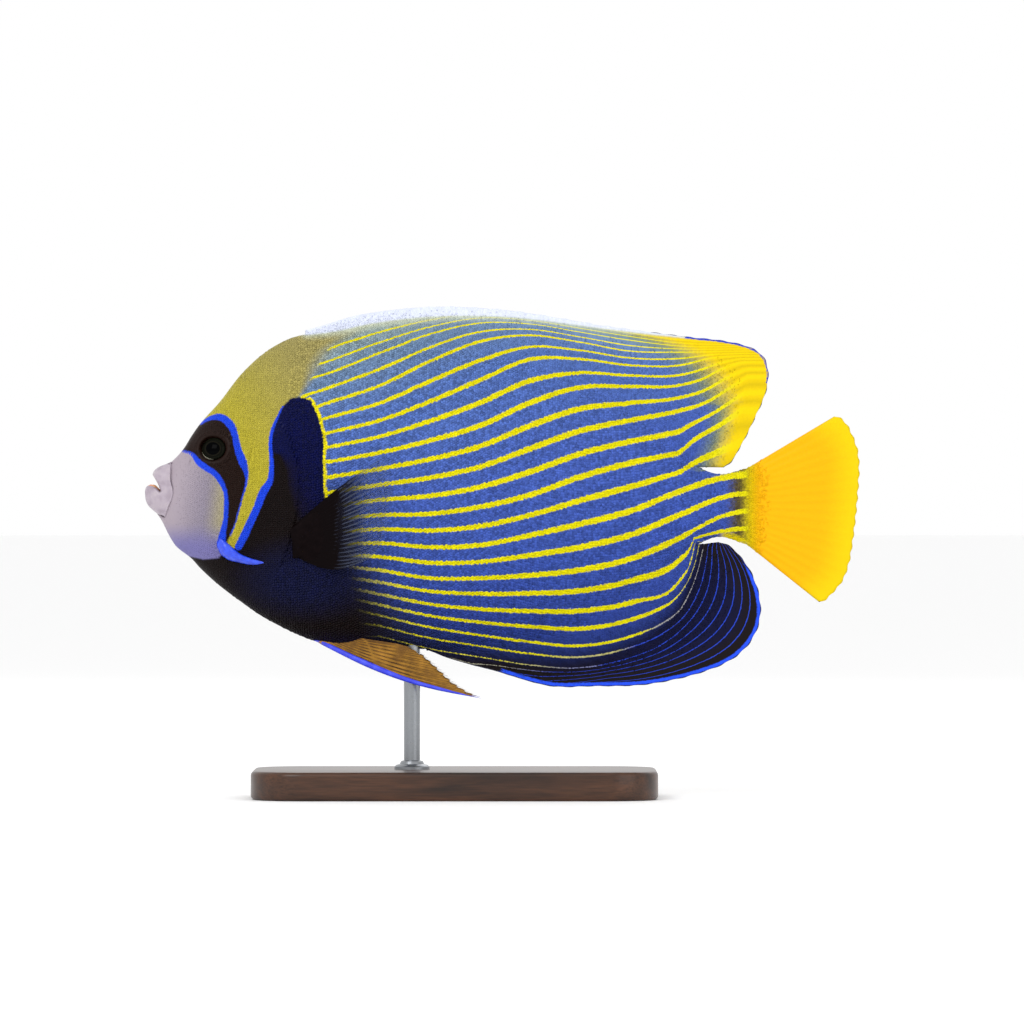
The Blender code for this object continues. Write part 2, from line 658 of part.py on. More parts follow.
def make_stand(torso, looks, home, cutters):
    """A flat base with rounded corners and one rod that goes up into the belly."""
    mesh = bmesh.new()
    size = Matrix.Diagonal((BASE_LENGTH, BASE_WIDTH, BASE_HEIGHT, 1.0))
    place = Matrix.Translation((BASE_CENTRE_X, 0.0, 0.5 * BASE_HEIGHT))
    bmesh.ops.create_cube(mesh, size=1.0, matrix=place @ size)
    corners = [edge for edge in mesh.edges if abs(edge.verts[0].co.z - edge.verts[1].co.z) > 1.0]
    bmesh.ops.bevel(
        mesh, geom=corners, offset=BASE_CORNER, segments=5, profile=0.5, affect="EDGES", material=-1)
    rim = [edge for edge in mesh.edges if min(vert.co.z for vert in edge.verts) > BASE_HEIGHT - 0.01]
    bmesh.ops.bevel(mesh, geom=rim, offset=BASE_EDGE, segments=2, profile=0.5, affect="EDGES", material=-1)
    base = add_object("stand_base", mesh, looks["base"], home)
    cylinder("stand_rod", ROD_X, ROD_RADIUS, ROD_SEAT_Z, ROD_TOP_Z, 16, looks["rod"], home)
    for thing in (base, torso):
        low = ROD_SEAT_Z - GAP if thing == base else BELLY(ROD_X) - 10.0
        high = ROD_TOP_Z + GAP if thing == torso else BASE_HEIGHT + 5.0
        seat = cylinder("seat", ROD_X, ROD_RADIUS + GAP, low, high, 16, looks["rod"], cutters)
        carve(thing, [seat], "DIFFERENCE")


def make_looks():
    """One plain material for each finish that the model shows."""
    return {
        "head": material("painted_head", (0.33, 0.30, 0.20), 0.45),
        "lips": material("painted_lips", (0.55, 0.57, 0.60), 0.40),
        "spine": material("blue_spine", (0.02, 0.08, 0.75), 0.35),
        "body": material("striped_flank", (0.14, 0.18, 0.45), 0.45),
        "dorsal": material("pale_dorsal", (0.45, 0.50, 0.55), 0.45),
        "lobe": material("yellow_lobe", (0.80, 0.60, 0.01), 0.45),
        "anal": material("dark_anal_fin", (0.01, 0.01, 0.06), 0.45),
        "tail": material("yellow_tail", (0.95, 0.50, 0.0), 0.45),
        "pectoral": material("dark_pectoral", (0.05, 0.04, 0.05), 0.50),
        "pelvic": material("ochre_pelvic", (0.40, 0.20, 0.02), 0.50),
        "eye": material("glass_eye", (0.02, 0.02, 0.02), 0.05),
        "base": material("dark_wood_base", (0.03, 0.02, 0.015), 0.35),
        "rod": material("steel_rod", (0.60, 0.60, 0.62), 0.25, 1.0),
    }


def main():
    for thing in list(bpy.data.objects):
        bpy.data.objects.remove(thing)
    home = bpy.data.collections.new("emperor_angelfish")
    cutters = bpy.data.collections.new("cutters")
    bpy.context.scene.collection.children.link(home)
    bpy.context.scene.collection.children.link(cutters)
    looks = make_looks()

    head, torso = make_body(looks, home)
    make_jaw("upper_jaw", UPPER_JAW_TOP, UPPER_JAW_LOW, looks["lips"], home)
    make_jaw("lower_jaw", LOWER_JAW_TOP, LOWER_JAW_LOW, looks["lips"], home)
    make_eyes(head, looks, home, cutters)
    make_middle_fins(looks, home)
    for side, side_name in ((-1, "left"), (1, "right")):
        make_gill_cover(side, side_name, looks["head"], home)
        make_cheek_spine(side, side_name, looks["spine"], home)
        make_pectoral(side, side_name, looks["pectoral"], home)
        make_pelvic(side, side_name, looks["pelvic"], home)
    make_stand(torso, looks, home, cutters)


main()
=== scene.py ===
# %% [markdown]
# # An emperor angelfish, life size, on a small stand
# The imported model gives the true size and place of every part. This script dresses it: one
# skin without seams, thousands of small scales laid over it, lips, eyes and fins with their
# rays, and the painted pattern. All sizes below are in millimetres, and only the last step of
# each piece turns them into Blender's metres. The fish faces -X, and its left side faces -Y.

# %% Load the model that everything is fitted to
import json
import math

import bmesh
import bpy
import numpy as np
from mathutils import Matrix, Vector
from mathutils.bvhtree import BVHTree

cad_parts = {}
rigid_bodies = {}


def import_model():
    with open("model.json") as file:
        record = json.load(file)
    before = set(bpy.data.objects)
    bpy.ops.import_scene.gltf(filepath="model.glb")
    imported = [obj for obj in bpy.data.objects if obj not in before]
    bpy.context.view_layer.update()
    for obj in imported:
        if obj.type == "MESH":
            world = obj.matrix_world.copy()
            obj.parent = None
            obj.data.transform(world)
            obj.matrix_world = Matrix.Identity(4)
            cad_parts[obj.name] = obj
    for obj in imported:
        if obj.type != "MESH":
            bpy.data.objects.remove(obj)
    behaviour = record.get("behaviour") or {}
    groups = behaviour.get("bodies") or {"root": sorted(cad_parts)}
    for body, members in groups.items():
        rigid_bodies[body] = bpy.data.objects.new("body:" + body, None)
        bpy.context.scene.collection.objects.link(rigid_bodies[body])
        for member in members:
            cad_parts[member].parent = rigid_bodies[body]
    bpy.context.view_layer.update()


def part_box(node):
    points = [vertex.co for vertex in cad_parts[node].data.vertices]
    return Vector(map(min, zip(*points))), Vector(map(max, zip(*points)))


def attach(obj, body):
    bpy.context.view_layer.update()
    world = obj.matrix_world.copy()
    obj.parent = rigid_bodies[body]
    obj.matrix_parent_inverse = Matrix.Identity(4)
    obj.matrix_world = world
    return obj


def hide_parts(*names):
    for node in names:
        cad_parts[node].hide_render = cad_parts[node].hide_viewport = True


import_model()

MM = 0.001

# %% [markdown]
# ## Smooth lines from a few points
# A fish's outline could be a Bezier curve that is sampled afterwards. Here a line is a function
# instead, because the same outline then shapes the skin, places the scales and bounds the paint.

# %% Lines and paths
def smooth_line(points, even=True):
    """A smooth function through (value, result) points, held level beyond its ends."""
    xs, ys = np.array(points, float).T
    spans = np.diff(xs)
    steps = np.diff(ys) / spans
    before, after = steps[:-1], steps[1:]
    if even:
        same_way = before * after > 0
        middle = np.where(same_way, 2 * before * after / np.where(same_way, before + after, 1.0), 0.0)
    else:
        middle = (before * spans[1:] + after * spans[:-1]) / (spans[:-1] + spans[1:])
    slopes = np.concatenate(([steps[0]], middle, [steps[-1]]))

    def at(value):
        value = np.clip(value, xs[0], xs[-1])
        i = np.clip(np.searchsorted(xs, value, side="right") - 1, 0, len(spans) - 1)
        t = (value - xs[i]) / spans[i]
        rise, start, end = ys[i + 1] - ys[i], slopes[i] * spans[i], slopes[i + 1] * spans[i]
        return ys[i] + t * (start + t * (3 * rise - 2 * start - end + t * (start + end - 2 * rise)))

    return at


def smooth_path(points):
    """A smooth curve through points, as a function of its share of length, 0 to 1."""
    points = np.array(points, float)
    lengths = np.concatenate(([0.0], np.cumsum(np.hypot(*np.diff(points[:, :2], axis=0).T))))
    shares = lengths / lengths[-1]
    parts = [smooth_line(np.column_stack((shares, column)), even=False) for column in points.T]
    return lambda share: [part(share) for part in parts]


def mix(low, high, share):
    return low + (high - low) * share


def smooth_step(low, high, value):
    """0 below low, 1 above high, and a soft rise between them."""
    share = np.clip((value - low) / (high - low), 0.0, 1.0)
    return share * share * (3.0 - 2.0 * share)


# %% [markdown]
# ## The body's shape
# The outline is given from the side, and the thickness as a function of the place on it. That
# is how a fish is measured: its depth, its width and how round each slice is.

# %% Outlines of the body
BACK = smooth_line([
    (-139.9, 140.2), (-136.1, 143.9), (-133.6, 147.0), (-130.4, 152.2), (-127.0, 157.0), (-118.6, 166.4),
    (-110.2, 177.3), (-101.8, 185.4), (-93.5, 190.9), (-86.7, 193.7), (-80.0, 194.8), (-62.0, 194.4),
    (-43.0, 191.8), (-1.1, 185.3), (20.0, 179.6), (40.9, 170.4), (66.1, 153.8), (81.7, 139.0), (92.0, 135.9),
    (103.0, 138.4)])
BELLY = smooth_line([
    (-145.1, 119.4), (-143.2, 116.6), (-139.9, 110.0), (-137.1, 105.7), (-130.4, 100.3), (-127.0, 96.5),
    (-118.6, 88.9), (-110.2, 82.6), (-101.8, 76.7), (-93.5, 72.1), (-85.0, 68.1), (-76.6, 65.2),
    (-66.0, 63.6), (-48.5, 63.2), (-32.5, 62.5), (-1.1, 62.2), (24.1, 68.3), (49.4, 80.9), (66.1, 92.7),
    (82.1, 106.4), (91.0, 109.6), (103.0, 106.2)])
HALF_WIDTH = smooth_line([
    (-145.1, 5.4), (-139.9, 6.6), (-134.0, 8.7), (-127.0, 11.0), (-121.0, 12.7), (-113.0, 14.6),
    (-105.0, 15.9), (-95.0, 17.5), (-85.0, 19.1), (-70.0, 20.8), (-45.0, 21.5), (-15.0, 20.3), (15.0, 17.3),
    (45.0, 12.6), (70.0, 8.2), (84.0, 5.8), (95.0, 4.3), (103.0, 3.4)])
WIDEST_LEVEL = smooth_line([
    (-139.9, 127.0), (-121.0, 129.0), (-100.0, 130.0), (-60.0, 131.0), (0.0, 129.0), (50.0, 127.0),
    (84.0, 122.5), (103.0, 122.3)])
BACK_ROUNDNESS = smooth_line([
    (-139.9, 0.50), (-105.0, 0.56), (-84.0, 0.66), (-60.0, 0.78), (0.0, 0.85), (80.0, 0.72), (103.0, 0.55)])
BELLY_ROUNDNESS = smooth_line([
    (-139.9, 0.55), (-100.0, 0.62), (-60.0, 0.56), (-35.0, 0.62), (0.0, 0.80), (60.0, 0.85), (84.0, 0.70),
    (103.0, 0.55)])
BACK_RIDGE = smooth_line([
    (-92.0, 0.0), (-80.0, 1.5), (-60.0, 2.3), (20.0, 2.4), (70.0, 1.7), (82.0, 1.2), (88.0, 0.3),
    (103.0, 0.0)])
BELLY_RIDGE = smooth_line([
    (-45.0, 0.0), (-30.0, 1.4), (10.0, 2.4), (60.0, 1.9), (82.0, 1.2), (88.0, 0.3), (103.0, 0.0)])
SLICE_POWER = 2.2


def body_half(x, z):
    """The plain body's distance from the middle plane at (x, z)."""
    level = WIDEST_LEVEL(x)
    upper = z > level
    edge = np.where(upper, BACK(x), BELLY(x))
    roundness = np.where(upper, BACK_ROUNDNESS(x), BELLY_ROUNDNESS(x))
    ridge = np.where(upper, BACK_RIDGE(x), BELLY_RIDGE(x))
    share = np.clip((z - level) / (edge - level), 0.0, 1.0)
    return np.hypot(HALF_WIDTH(x) * (1.0 - share ** SLICE_POWER) ** roundness, ridge)


_, head_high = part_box("head")
widest = body_half(np.array([head_high.x / MM]), np.array([130.0]))[0]
print("half width behind the head:", round(float(widest), 1), "mm, CAD:", round(head_high.y / MM, 1))

# %% [markdown]
# ## Relief on the head
# Sockets, grooves and the edge of the gill cover could be sculpted by hand. As heights that are
# added to the body's width they stay exact, are the same on both sides, and cost no extra faces.

# %% Distances to lines and outlines
def segment_reach(x, z, line):
    """For each segment of a line: every point's distance to it, and its share along the segment."""
    for (x0, z0), (x1, z1) in zip(line[:-1, :2], line[1:, :2]):
        dx, dz = x1 - x0, z1 - z0
        share = np.clip(((x - x0) * dx + (z - z0) * dz) / (dx * dx + dz * dz), 0.0, 1.0)
        yield np.hypot(x - x0 - share * dx, z - z0 - share * dz), share


def points_along(path, count):
    """Points at even shares of a path's length, as rows of an array."""
    return np.column_stack(path(np.linspace(0.0, 1.0, count)))


def sampled(points, per_span=4):
    """Points along the smooth path through the given ones."""
    return points_along(smooth_path(points), (len(points) - 1) * per_span + 1)


def line_distance(x, z, line):
    """The distance in mm to a sampled line."""
    nearest = np.full(np.shape(x), 1e3)
    for distance, _ in segment_reach(x, z, line):
        nearest = np.minimum(nearest, distance)
    return nearest


def inside_line(x, z, line):
    """How deep a point lies in a painted line whose third column is its half width."""
    deepest = np.full(np.shape(x), -1e3)
    for (distance, share), half0, half1 in zip(segment_reach(x, z, line), line[:-1, 2], line[1:, 2]):
        deepest = np.maximum(deepest, mix(half0, half1, share) - distance)
    return deepest


def inside_outline(x, z, outline):
    """How deep a point lies in a closed outline, negative outside it."""
    closed = np.vstack((outline, outline[:1]))
    crossings = np.zeros(np.shape(x), bool)
    for (x0, z0), (x1, z1) in zip(closed[:-1], closed[1:]):
        if z0 != z1:
            crossings ^= ((z0 > z) != (z1 > z)) & (x < x0 + (z - z0) * (x1 - x0) / (z1 - z0))
    return np.where(crossings, 1.0, -1.0) * line_distance(x, z, closed)


# %% Eye, gill cover and cheek
EYE_X, EYE_Z = -121.2, 146.6
EYE_RADII = (5.8, 5.2, 4.2)
EYE_STANDS_OUT = 1.3
SOCKET_DEPTH, EYE_RIM, OUTER_RIM = 3.2, 0.75, 0.35
NOSTRILS = [(-128.6, 143.9), (-130.9, 141.2)]
NOSTRIL_DEPTH, NOSTRIL_RIM = 0.9, 0.35
GILL_REAR = sampled([
    (-97.0, 94.0), (-92.8, 98.0), (-89.8, 105.0), (-86.6, 116.6), (-85.2, 129.0), (-86.4, 143.0),
    (-89.4, 152.0), (-94.5, 159.0)])
GILL_COVER_HEIGHT = 1.15
CHEEK_GROOVE = sampled([
    (-104.5, 146.0), (-106.5, 137.2), (-108.0, 128.0), (-110.2, 119.2), (-113.2, 110.8), (-116.7, 106.1)])
CHEEK_GROOVE_DEPTH = 0.55
RELIEF_END_X = -82.0


def eye_reach(x, z):
    """Distance from the eye's centre, as a share of its radius."""
    return np.hypot((x - EYE_X) / EYE_RADII[0], (z - EYE_Z) / EYE_RADII[1])


def bulge(distance, width, middle=0.0):
    """1 where the distance is that of the middle, fading away to both sides of it."""
    return np.exp(-((distance - middle) / width) ** 2)


def relief(x, z):
    """What stands out of the plain body, or is cut into it, in mm."""
    height = np.zeros(np.shape(x))
    head = x < RELIEF_END_X
    hx, hz = x[head], z[head]
    reach = eye_reach(hx, hz)
    rim = EYE_RIM * bulge(reach, 0.09, 1.10) + OUTER_RIM * bulge(reach, 0.13, 1.32)
    socket = -SOCKET_DEPTH * (1.0 - smooth_step(0.78, 1.02, reach))
    groove = -CHEEK_GROOVE_DEPTH * bulge(line_distance(hx, hz, CHEEK_GROOVE), 0.9)
    in_front = np.interp(hz, GILL_REAR[:, 1], GILL_REAR[:, 0]) - hx
    level = smooth_step(94.0, 100.0, hz) * (1.0 - smooth_step(150.0, 158.0, hz))
    edge = (1.0 - smooth_step(2.0, 19.0, in_front)) * smooth_step(-0.1, 0.6, in_front)
    pits = sum(NOSTRIL_RIM * bulge(away, 0.3, 1.15) - NOSTRIL_DEPTH * bulge(away, 0.62)
               for away in (np.hypot(hx - px, hz - pz) for px, pz in NOSTRILS))
    height[head] = rim + socket + groove + GILL_COVER_HEIGHT * level * edge + pits
    return height


# %% [markdown]
# ## One skin for body and middle fins
# Head, flank, dorsal, anal and tail fin are one surface on the real fish, so they are one mesh.
# Each part starts as a flat bmesh grid. The grids share their edge corners, so merging doubles
# welds them, and a mirror across the middle plane gives the far side and closes every rim.

# %% Outlines of the middle fins
SPINY_DORSAL = smooth_path([
    (-82.6, 196.3), (-74.1, 198.8), (-62.8, 202.3), (-49.4, 204.6), (-37.6, 205.9), (-23.3, 206.5),
    (-12.4, 206.1), (1.1, 205.1), (24.1, 201.7), (41.0, 198.7)])
SOFT_DORSAL = smooth_path([
    (41.0, 198.7), (57.3, 196.4), (78.8, 193.6), (95.5, 191.6), (103.1, 189.7), (107.7, 187.4),
    (110.9, 183.4), (111.9, 177.3), (111.1, 171.5), (106.3, 159.6), (98.9, 145.2), (96.0, 140.6),
    (92.8, 138.7)])
SPINY_ANAL = smooth_path([
    (-32.3, 62.3), (-29.0, 61.1), (-25.0, 59.4), (-14.7, 56.2), (-1.1, 52.6), (9.0, 49.4)])
SOFT_ANAL = smooth_path([
    (9.0, 49.4), (19.1, 46.9), (38.9, 46.7), (60.3, 47.4), (72.0, 49.4), (83.8, 52.5), (93.5, 56.3),
    (98.7, 59.5), (103.5, 64.2), (106.9, 70.0), (108.6, 76.6), (108.4, 83.0), (106.9, 89.4),
    (104.0, 96.0), (99.2, 102.4), (95.3, 106.1), (90.6, 107.4)])
TAIL_EDGE = smooth_path([
    (139.7, 160.4), (142.4, 159.5), (145.1, 156.5), (147.6, 151.5), (149.4, 146.2), (150.1, 139.3),
    (149.8, 131.8), (149.2, 124.0), (148.4, 116.0), (147.2, 106.6), (145.8, 98.6), (143.0, 91.0),
    (138.4, 85.4), (135.9, 83.0), (133.3, 81.9)])
DORSAL_SPLIT_X, ANAL_SPLIT_X = 18.0, -9.0
DORSAL_SPINES, DORSAL_RAYS, ANAL_SPINES, ANAL_RAYS, TAIL_RAYS = 13, 18, 3, 19, 17
MEMBRANE_HALF = 0.30
RAY_RELIEF, SPINE_RELIEF = 0.38, 0.55
NOTCH, TAIL_LENGTH = 0.55, 45.0
SCALE_DEPTH = 0.15

# %% Columns and rows of the grids
HEAD_X, FIN_END_X, TAIL_X = -83.0, 82.0, 102.6
HEAD_COLUMNS, FRONT_COLUMNS, REAR_COLUMNS, ROOT_COLUMNS, TAIL_COLUMNS = 66, 95, 90, 14, 44
BODY_ROWS, FIN_ROWS = 104, 34
FIRST_FIN = HEAD_COLUMNS
LAST_FIN = FIRST_FIN + FRONT_COLUMNS + REAR_COLUMNS
LAST_BODY = LAST_FIN + ROOT_COLUMNS
BODY_COLUMNS = LAST_BODY + TAIL_COLUMNS
ANAL_FIRST = FIRST_FIN + 48
COLUMN_X = np.concatenate((
    np.linspace(-140.0, HEAD_X, HEAD_COLUMNS, endpoint=False),
    np.linspace(HEAD_X, DORSAL_SPLIT_X, FRONT_COLUMNS, endpoint=False),
    np.linspace(DORSAL_SPLIT_X, FIN_END_X, REAR_COLUMNS, endpoint=False),
    np.linspace(FIN_END_X, TAIL_X, ROOT_COLUMNS + 1)))
print("grid of the body:", BODY_COLUMNS, "columns and", BODY_ROWS, "rows")

# The head's front edge follows the groove behind the lips, by share of the head's height.
LIP_GROOVE = smooth_line([
    (0.0, -145.1), (0.15, -142.2), (0.39, -140.6), (0.52, -139.2), (0.62, -138.5), (0.8, -139.6),
    (1.0, -139.9)])


def row_share(row, x):
    """Rows crowd towards back and belly on the body, and spread evenly over the tail fin."""
    even = row / BODY_ROWS
    crowded = 0.5 - 0.5 * np.cos(math.pi * even)
    return mix(even, crowded, 0.88 * (1.0 - smooth_step(84.0, TAIL_X, x)))


def ray_wave(ray):
    """1 along the middle of each ray and 0 between two rays."""
    return 0.5 - 0.5 * np.cos(2.0 * math.pi * ray)


# %% The body's place for every corner of the grid
def body_place(column, row):
    """x, z, half width, lie of the scales and share of the fin's length."""
    head = column < FIRST_FIN
    tail = column > LAST_BODY
    x = COLUMN_X[np.minimum(column, LAST_BODY)]
    share = row_share(row, x)
    along = np.clip(column / HEAD_COLUMNS, 0.0, 1.0)
    x = np.where(head, mix(LIP_GROOVE(share), HEAD_X, along ** 1.1), x)
    z = mix(BELLY(x), BACK(x), share)
    half = body_half(x, z) + relief(x, z) - SCALE_DEPTH
    tilt = mix(BELLY(x + 0.5) - BELLY(x - 0.5), BACK(x + 0.5) - BACK(x - 0.5), share)
    lie = 0.7 * np.arctan(tilt)

    out = np.clip((column - LAST_BODY) / TAIL_COLUMNS, 0.0, 1.0)
    ray = TAIL_RAYS * (1.0 - share)
    edge_x, edge_z = TAIL_EDGE(1.0 - share)
    reach = out - np.where(out == 1.0, NOTCH / TAIL_LENGTH * (1.0 - ray_wave(ray)), 0.0)
    root = half
    half = np.where(tail, mix(MEMBRANE_HALF, root, (1.0 - out) ** 1.6), half)
    half += np.where(tail, RAY_RELIEF * ray_wave(ray) * np.sin(math.pi * out) ** 0.5, 0.0)
    lie = np.where(tail, np.arctan2(edge_z - z, edge_x - x), lie)
    x, z = np.where(tail, mix(x, edge_x, reach), x), np.where(tail, mix(z, edge_z, reach), z)

    in_dorsal = (row == BODY_ROWS) & (column > FIRST_FIN) & (column < LAST_FIN)
    in_anal = (row == 0) & (column > ANAL_FIRST) & (column < LAST_FIN)
    rim = (row == 0) | (row == BODY_ROWS) | (column == 0) | (column == BODY_COLUMNS)
    half = np.where(in_dorsal, BACK_RIDGE(x) - SCALE_DEPTH, half)
    half = np.where(in_anal, BELLY_RIDGE(x) - SCALE_DEPTH, half)
    half = np.where(rim & ~in_dorsal & ~in_anal, 0.0, np.maximum(half, 0.02))
    return x, z, half, lie, out


# %% The fins' place for every corner of their grids
def fin_place(first, outline, ridge, split_x, spiny, soft, spines, rays):
    """A function like body_place for a fin that grows from the back or the belly."""
    start_x = COLUMN_X[first]

    def place(column, row):
        base_x = COLUMN_X[np.clip(column + first, 0, LAST_FIN)]
        base_z = outline(base_x)
        spiny_share = np.clip((base_x - start_x) / (split_x - start_x), 0.0, 1.0)
        soft_share = np.clip((base_x - split_x) / (FIN_END_X - split_x), 0.0, 1.0)
        front = base_x < split_x
        edges = zip(spiny(spiny_share), soft(soft_share))
        edge_x, edge_z = (np.where(front, near, far) for near, far in edges)
        ray = np.where(front, spiny_share * spines, spines + soft_share * rays)
        wave = np.where(front, ray_wave(ray) ** 3, ray_wave(ray))
        out = 1.0 - (1.0 - row / FIN_ROWS) ** 1.15
        length = np.maximum(np.hypot(edge_x - base_x, edge_z - base_z), 1.0)
        side = (column == 0) | (column == LAST_FIN - first)
        reach = out - np.where((out == 1.0) & ~side, NOTCH / length * (1.0 - wave), 0.0)
        half = mix(MEMBRANE_HALF, np.maximum(ridge(base_x) - SCALE_DEPTH, 0.1), (1.0 - out) ** 1.6)
        height = np.where(front, SPINE_RELIEF, RAY_RELIEF)
        half = half + height * wave * np.minimum(1.0, 6.0 * out) * (1.0 - 0.5 * out)
        half = np.where(side | (out == 1.0), 0.0, half)
        half = np.where((row == 0) & ~side, ridge(base_x) - SCALE_DEPTH, half)
        lie = np.arctan2(edge_z - base_z, edge_x - base_x)
        return mix(base_x, edge_x, reach), mix(base_z, edge_z, reach), half, lie, out

    return place


dorsal_place = fin_place(
    FIRST_FIN, BACK, BACK_RIDGE, DORSAL_SPLIT_X, SPINY_DORSAL, SOFT_DORSAL, DORSAL_SPINES, DORSAL_RAYS)
anal_place = fin_place(
    ANAL_FIRST, BELLY, BELLY_RIDGE, ANAL_SPLIT_X, SPINY_ANAL, SOFT_ANAL, ANAL_SPINES, ANAL_RAYS)

# %% Weld the grids and mirror them
WELD = 0.004


def add_grid(mesh, columns, rows):
    """A flat grid in a bmesh: its corners, and how far along its columns and its rows each one is."""
    made = bmesh.ops.create_grid(mesh, x_segments=columns, y_segments=rows, size=0.5)["verts"]
    return made, np.array([vert.co[:2] for vert in made]).T + 0.5


def add_patch(mesh, columns, rows, place, extras=()):
    """A grid of columns x rows cells, moved to place(column, row)."""
    made, (u, v) = add_grid(mesh, columns, rows)
    x, z, half, *rest = place(np.rint(u * columns).astype(int), np.rint(v * rows).astype(int))
    for vert, *co in zip(made, x, -half, z):
        vert.co = co
    for layer, values in zip(extras, rest):
        for vert, value in zip(made, values):
            vert[layer] = value


def add_far_side(mesh):
    """The mirror image across the middle plane, welded on, which closes every rim."""
    bmesh.ops.mirror(mesh, geom=mesh.verts[:] + mesh.edges[:] + mesh.faces[:], axis="Y", merge_dist=WELD)


skin_half = bmesh.new()
layers = [skin_half.verts.layers.float.new(name) for name in ("lie", "out")]
add_patch(skin_half, BODY_COLUMNS, BODY_ROWS, body_place, layers)
add_patch(skin_half, LAST_FIN - FIRST_FIN, FIN_ROWS, dorsal_place, layers)
add_patch(skin_half, LAST_FIN - ANAL_FIRST, FIN_ROWS, anal_place, layers)
bmesh.ops.remove_doubles(skin_half, verts=skin_half.verts[:], dist=WELD)
bmesh.ops.recalc_face_normals(skin_half, faces=skin_half.faces[:])
if sum(face.normal.y * face.calc_area() for face in skin_half.faces) > 0:
    bmesh.ops.reverse_faces(skin_half, faces=skin_half.faces[:])
skin_half.faces.ensure_lookup_table()
skin_half.verts.ensure_lookup_table()
left_surface = BVHTree.FromBMesh(skin_half)
face_lie, face_out = (np.array([face.verts[0][layer] for face in skin_half.faces]) for layer in layers)
print("half of the skin:", len(skin_half.verts), "corners,", len(skin_half.faces), "faces")

# %% [markdown]
# ## Where the pattern lies
# The pattern could be painted on an image, but then skin and scales would need one shared
# unwrap. Here every patch of colour is a distance, in mm, from a named line on the fish. The
# distances are stored on the corners of skin and scales alike, and the material turns each one
# into an edge as sharp or as soft as the real one.

# %% Lines of the face
MASK_REAR = sampled([
    (-126.6, 157.0, 0.45), (-123.5, 159.0, 0.8), (-118.2, 159.7, 1.43), (-113.8, 156.3, 1.6),
    (-111.9, 151.9, 1.3), (-110.8, 146.5, 1.43), (-108.4, 140.2, 1.7), (-107.2, 136.4, 0.9),
    (-107.1, 132.6, 0.5), (-108.7, 126.6, 0.35), (-110.5, 120.0, 0.3), (-111.9, 115.0, 0.3),
    (-113.8, 110.3, 0.3)])
CHEEK_REAR = sampled([
    (-134.0, 145.5, 0.55), (-130.4, 144.5, 0.7), (-127.0, 140.6, 1.26), (-123.5, 138.1, 1.26),
    (-120.3, 136.0, 1.18), (-117.8, 132.6, 1.09), (-116.0, 128.4, 0.85), (-115.6, 123.7, 0.9),
    (-116.0, 116.4, 1.0), (-117.2, 110.3, 1.45), (-117.4, 105.7, 2.1), (-114.0, 102.8, 2.2)])
BAND_REAR = sampled([
    (-92.0, 164.1, 0.3), (-94.0, 159.9, 0.45), (-96.5, 153.3, 0.67), (-97.1, 148.2, 0.75),
    (-96.7, 143.2, 0.84), (-96.6, 138.1, 0.95), (-97.4, 132.6, 1.34), (-99.8, 128.8, 1.68),
    (-102.7, 121.7, 1.55), (-105.8, 115.0, 1.6), (-107.7, 110.8, 1.68), (-110.5, 105.5, 1.5)])
SHOULDER_REAR = sampled([
    (-84.6, 168.3, 0.4), (-79.8, 166.8, 0.55), (-78.0, 163.4, 0.7), (-76.2, 159.1, 0.75),
    (-74.9, 154.0, 0.6), (-74.0, 148.2, 0.8), (-74.5, 142.5, 0.6), (-74.1, 136.0, 0.75),
    (-74.2, 130.9, 0.6), (-73.5, 126.6, 0.75), (-73.3, 116.0, 0.6)])

# %% Outlines of the patches
CHEEK_PATCH = np.vstack((
    [(-165.0, 150.0), (-137.0, 147.5)], CHEEK_REAR[:-2, :2],
    [(-118.9, 100.7), (-125.4, 100.1), (-132.1, 101.5), (-140.0, 98.0), (-165.0, 98.0)]))
MASK_PATCH = np.vstack((
    [(-140.0, 146.0), (-131.0, 160.0)], MASK_REAR[:, :2], CHEEK_REAR[-4::-1, :2]))
SHOULDER_PATCH = np.vstack((
    BAND_REAR[:, :2], [(-105.0, 100.0), (-74.0, 100.0)], SHOULDER_REAR[::-1, :2], [(-88.5, 167.6)]))
BREAST_PATCH = np.vstack((
    [(-165.0, 100.0), (-140.0, 100.5), (-132.1, 102.6), (-125.4, 101.4), (-118.9, 102.0), (-114.0, 104.0)],
    BAND_REAR[::-1, :2][:32],
    [(-95.5, 144.8), (-92.8, 143.9), (-88.1, 138.1), (-87.1, 130.9), (-81.9, 120.8), (-74.0, 113.0),
     (-66.0, 104.0), (-60.0, 94.0), (-55.0, 84.0), (-50.0, 72.0), (-46.0, 50.0), (-165.0, 50.0)]))
NAPE_REAR = smooth_line([
    (100.0, -111.0), (105.5, -110.5), (115.0, -105.8), (121.7, -102.7), (128.8, -99.8), (132.6, -97.4),
    (138.0, -96.6), (148.0, -97.1), (153.3, -96.5), (159.9, -94.0), (164.1, -91.5), (168.5, -85.0),
    (176.0, -80.5), (183.0, -76.9), (188.0, -73.5), (194.0, -65.0), (199.0, -57.0)])
STRIPES_FRONT = smooth_line([
    (60.0, -50.0), (80.0, -55.0), (95.0, -60.0), (104.0, -66.0), (112.0, -72.0), (118.7, -73.3),
    (130.9, -74.0), (142.5, -74.3), (154.0, -74.7), (163.4, -78.0), (168.3, -84.0), (171.0, -83.0),
    (176.0, -80.0), (183.0, -76.4), (188.3, -73.0), (194.0, -65.6), (199.0, -55.0)])
LOBE_FRONT = smooth_line([
    (138.0, 88.0), (145.0, 90.5), (152.0, 93.0), (162.0, 94.7), (171.0, 91.6), (180.0, 86.0), (187.0, 78.0),
    (192.0, 67.0), (197.0, 48.0)])
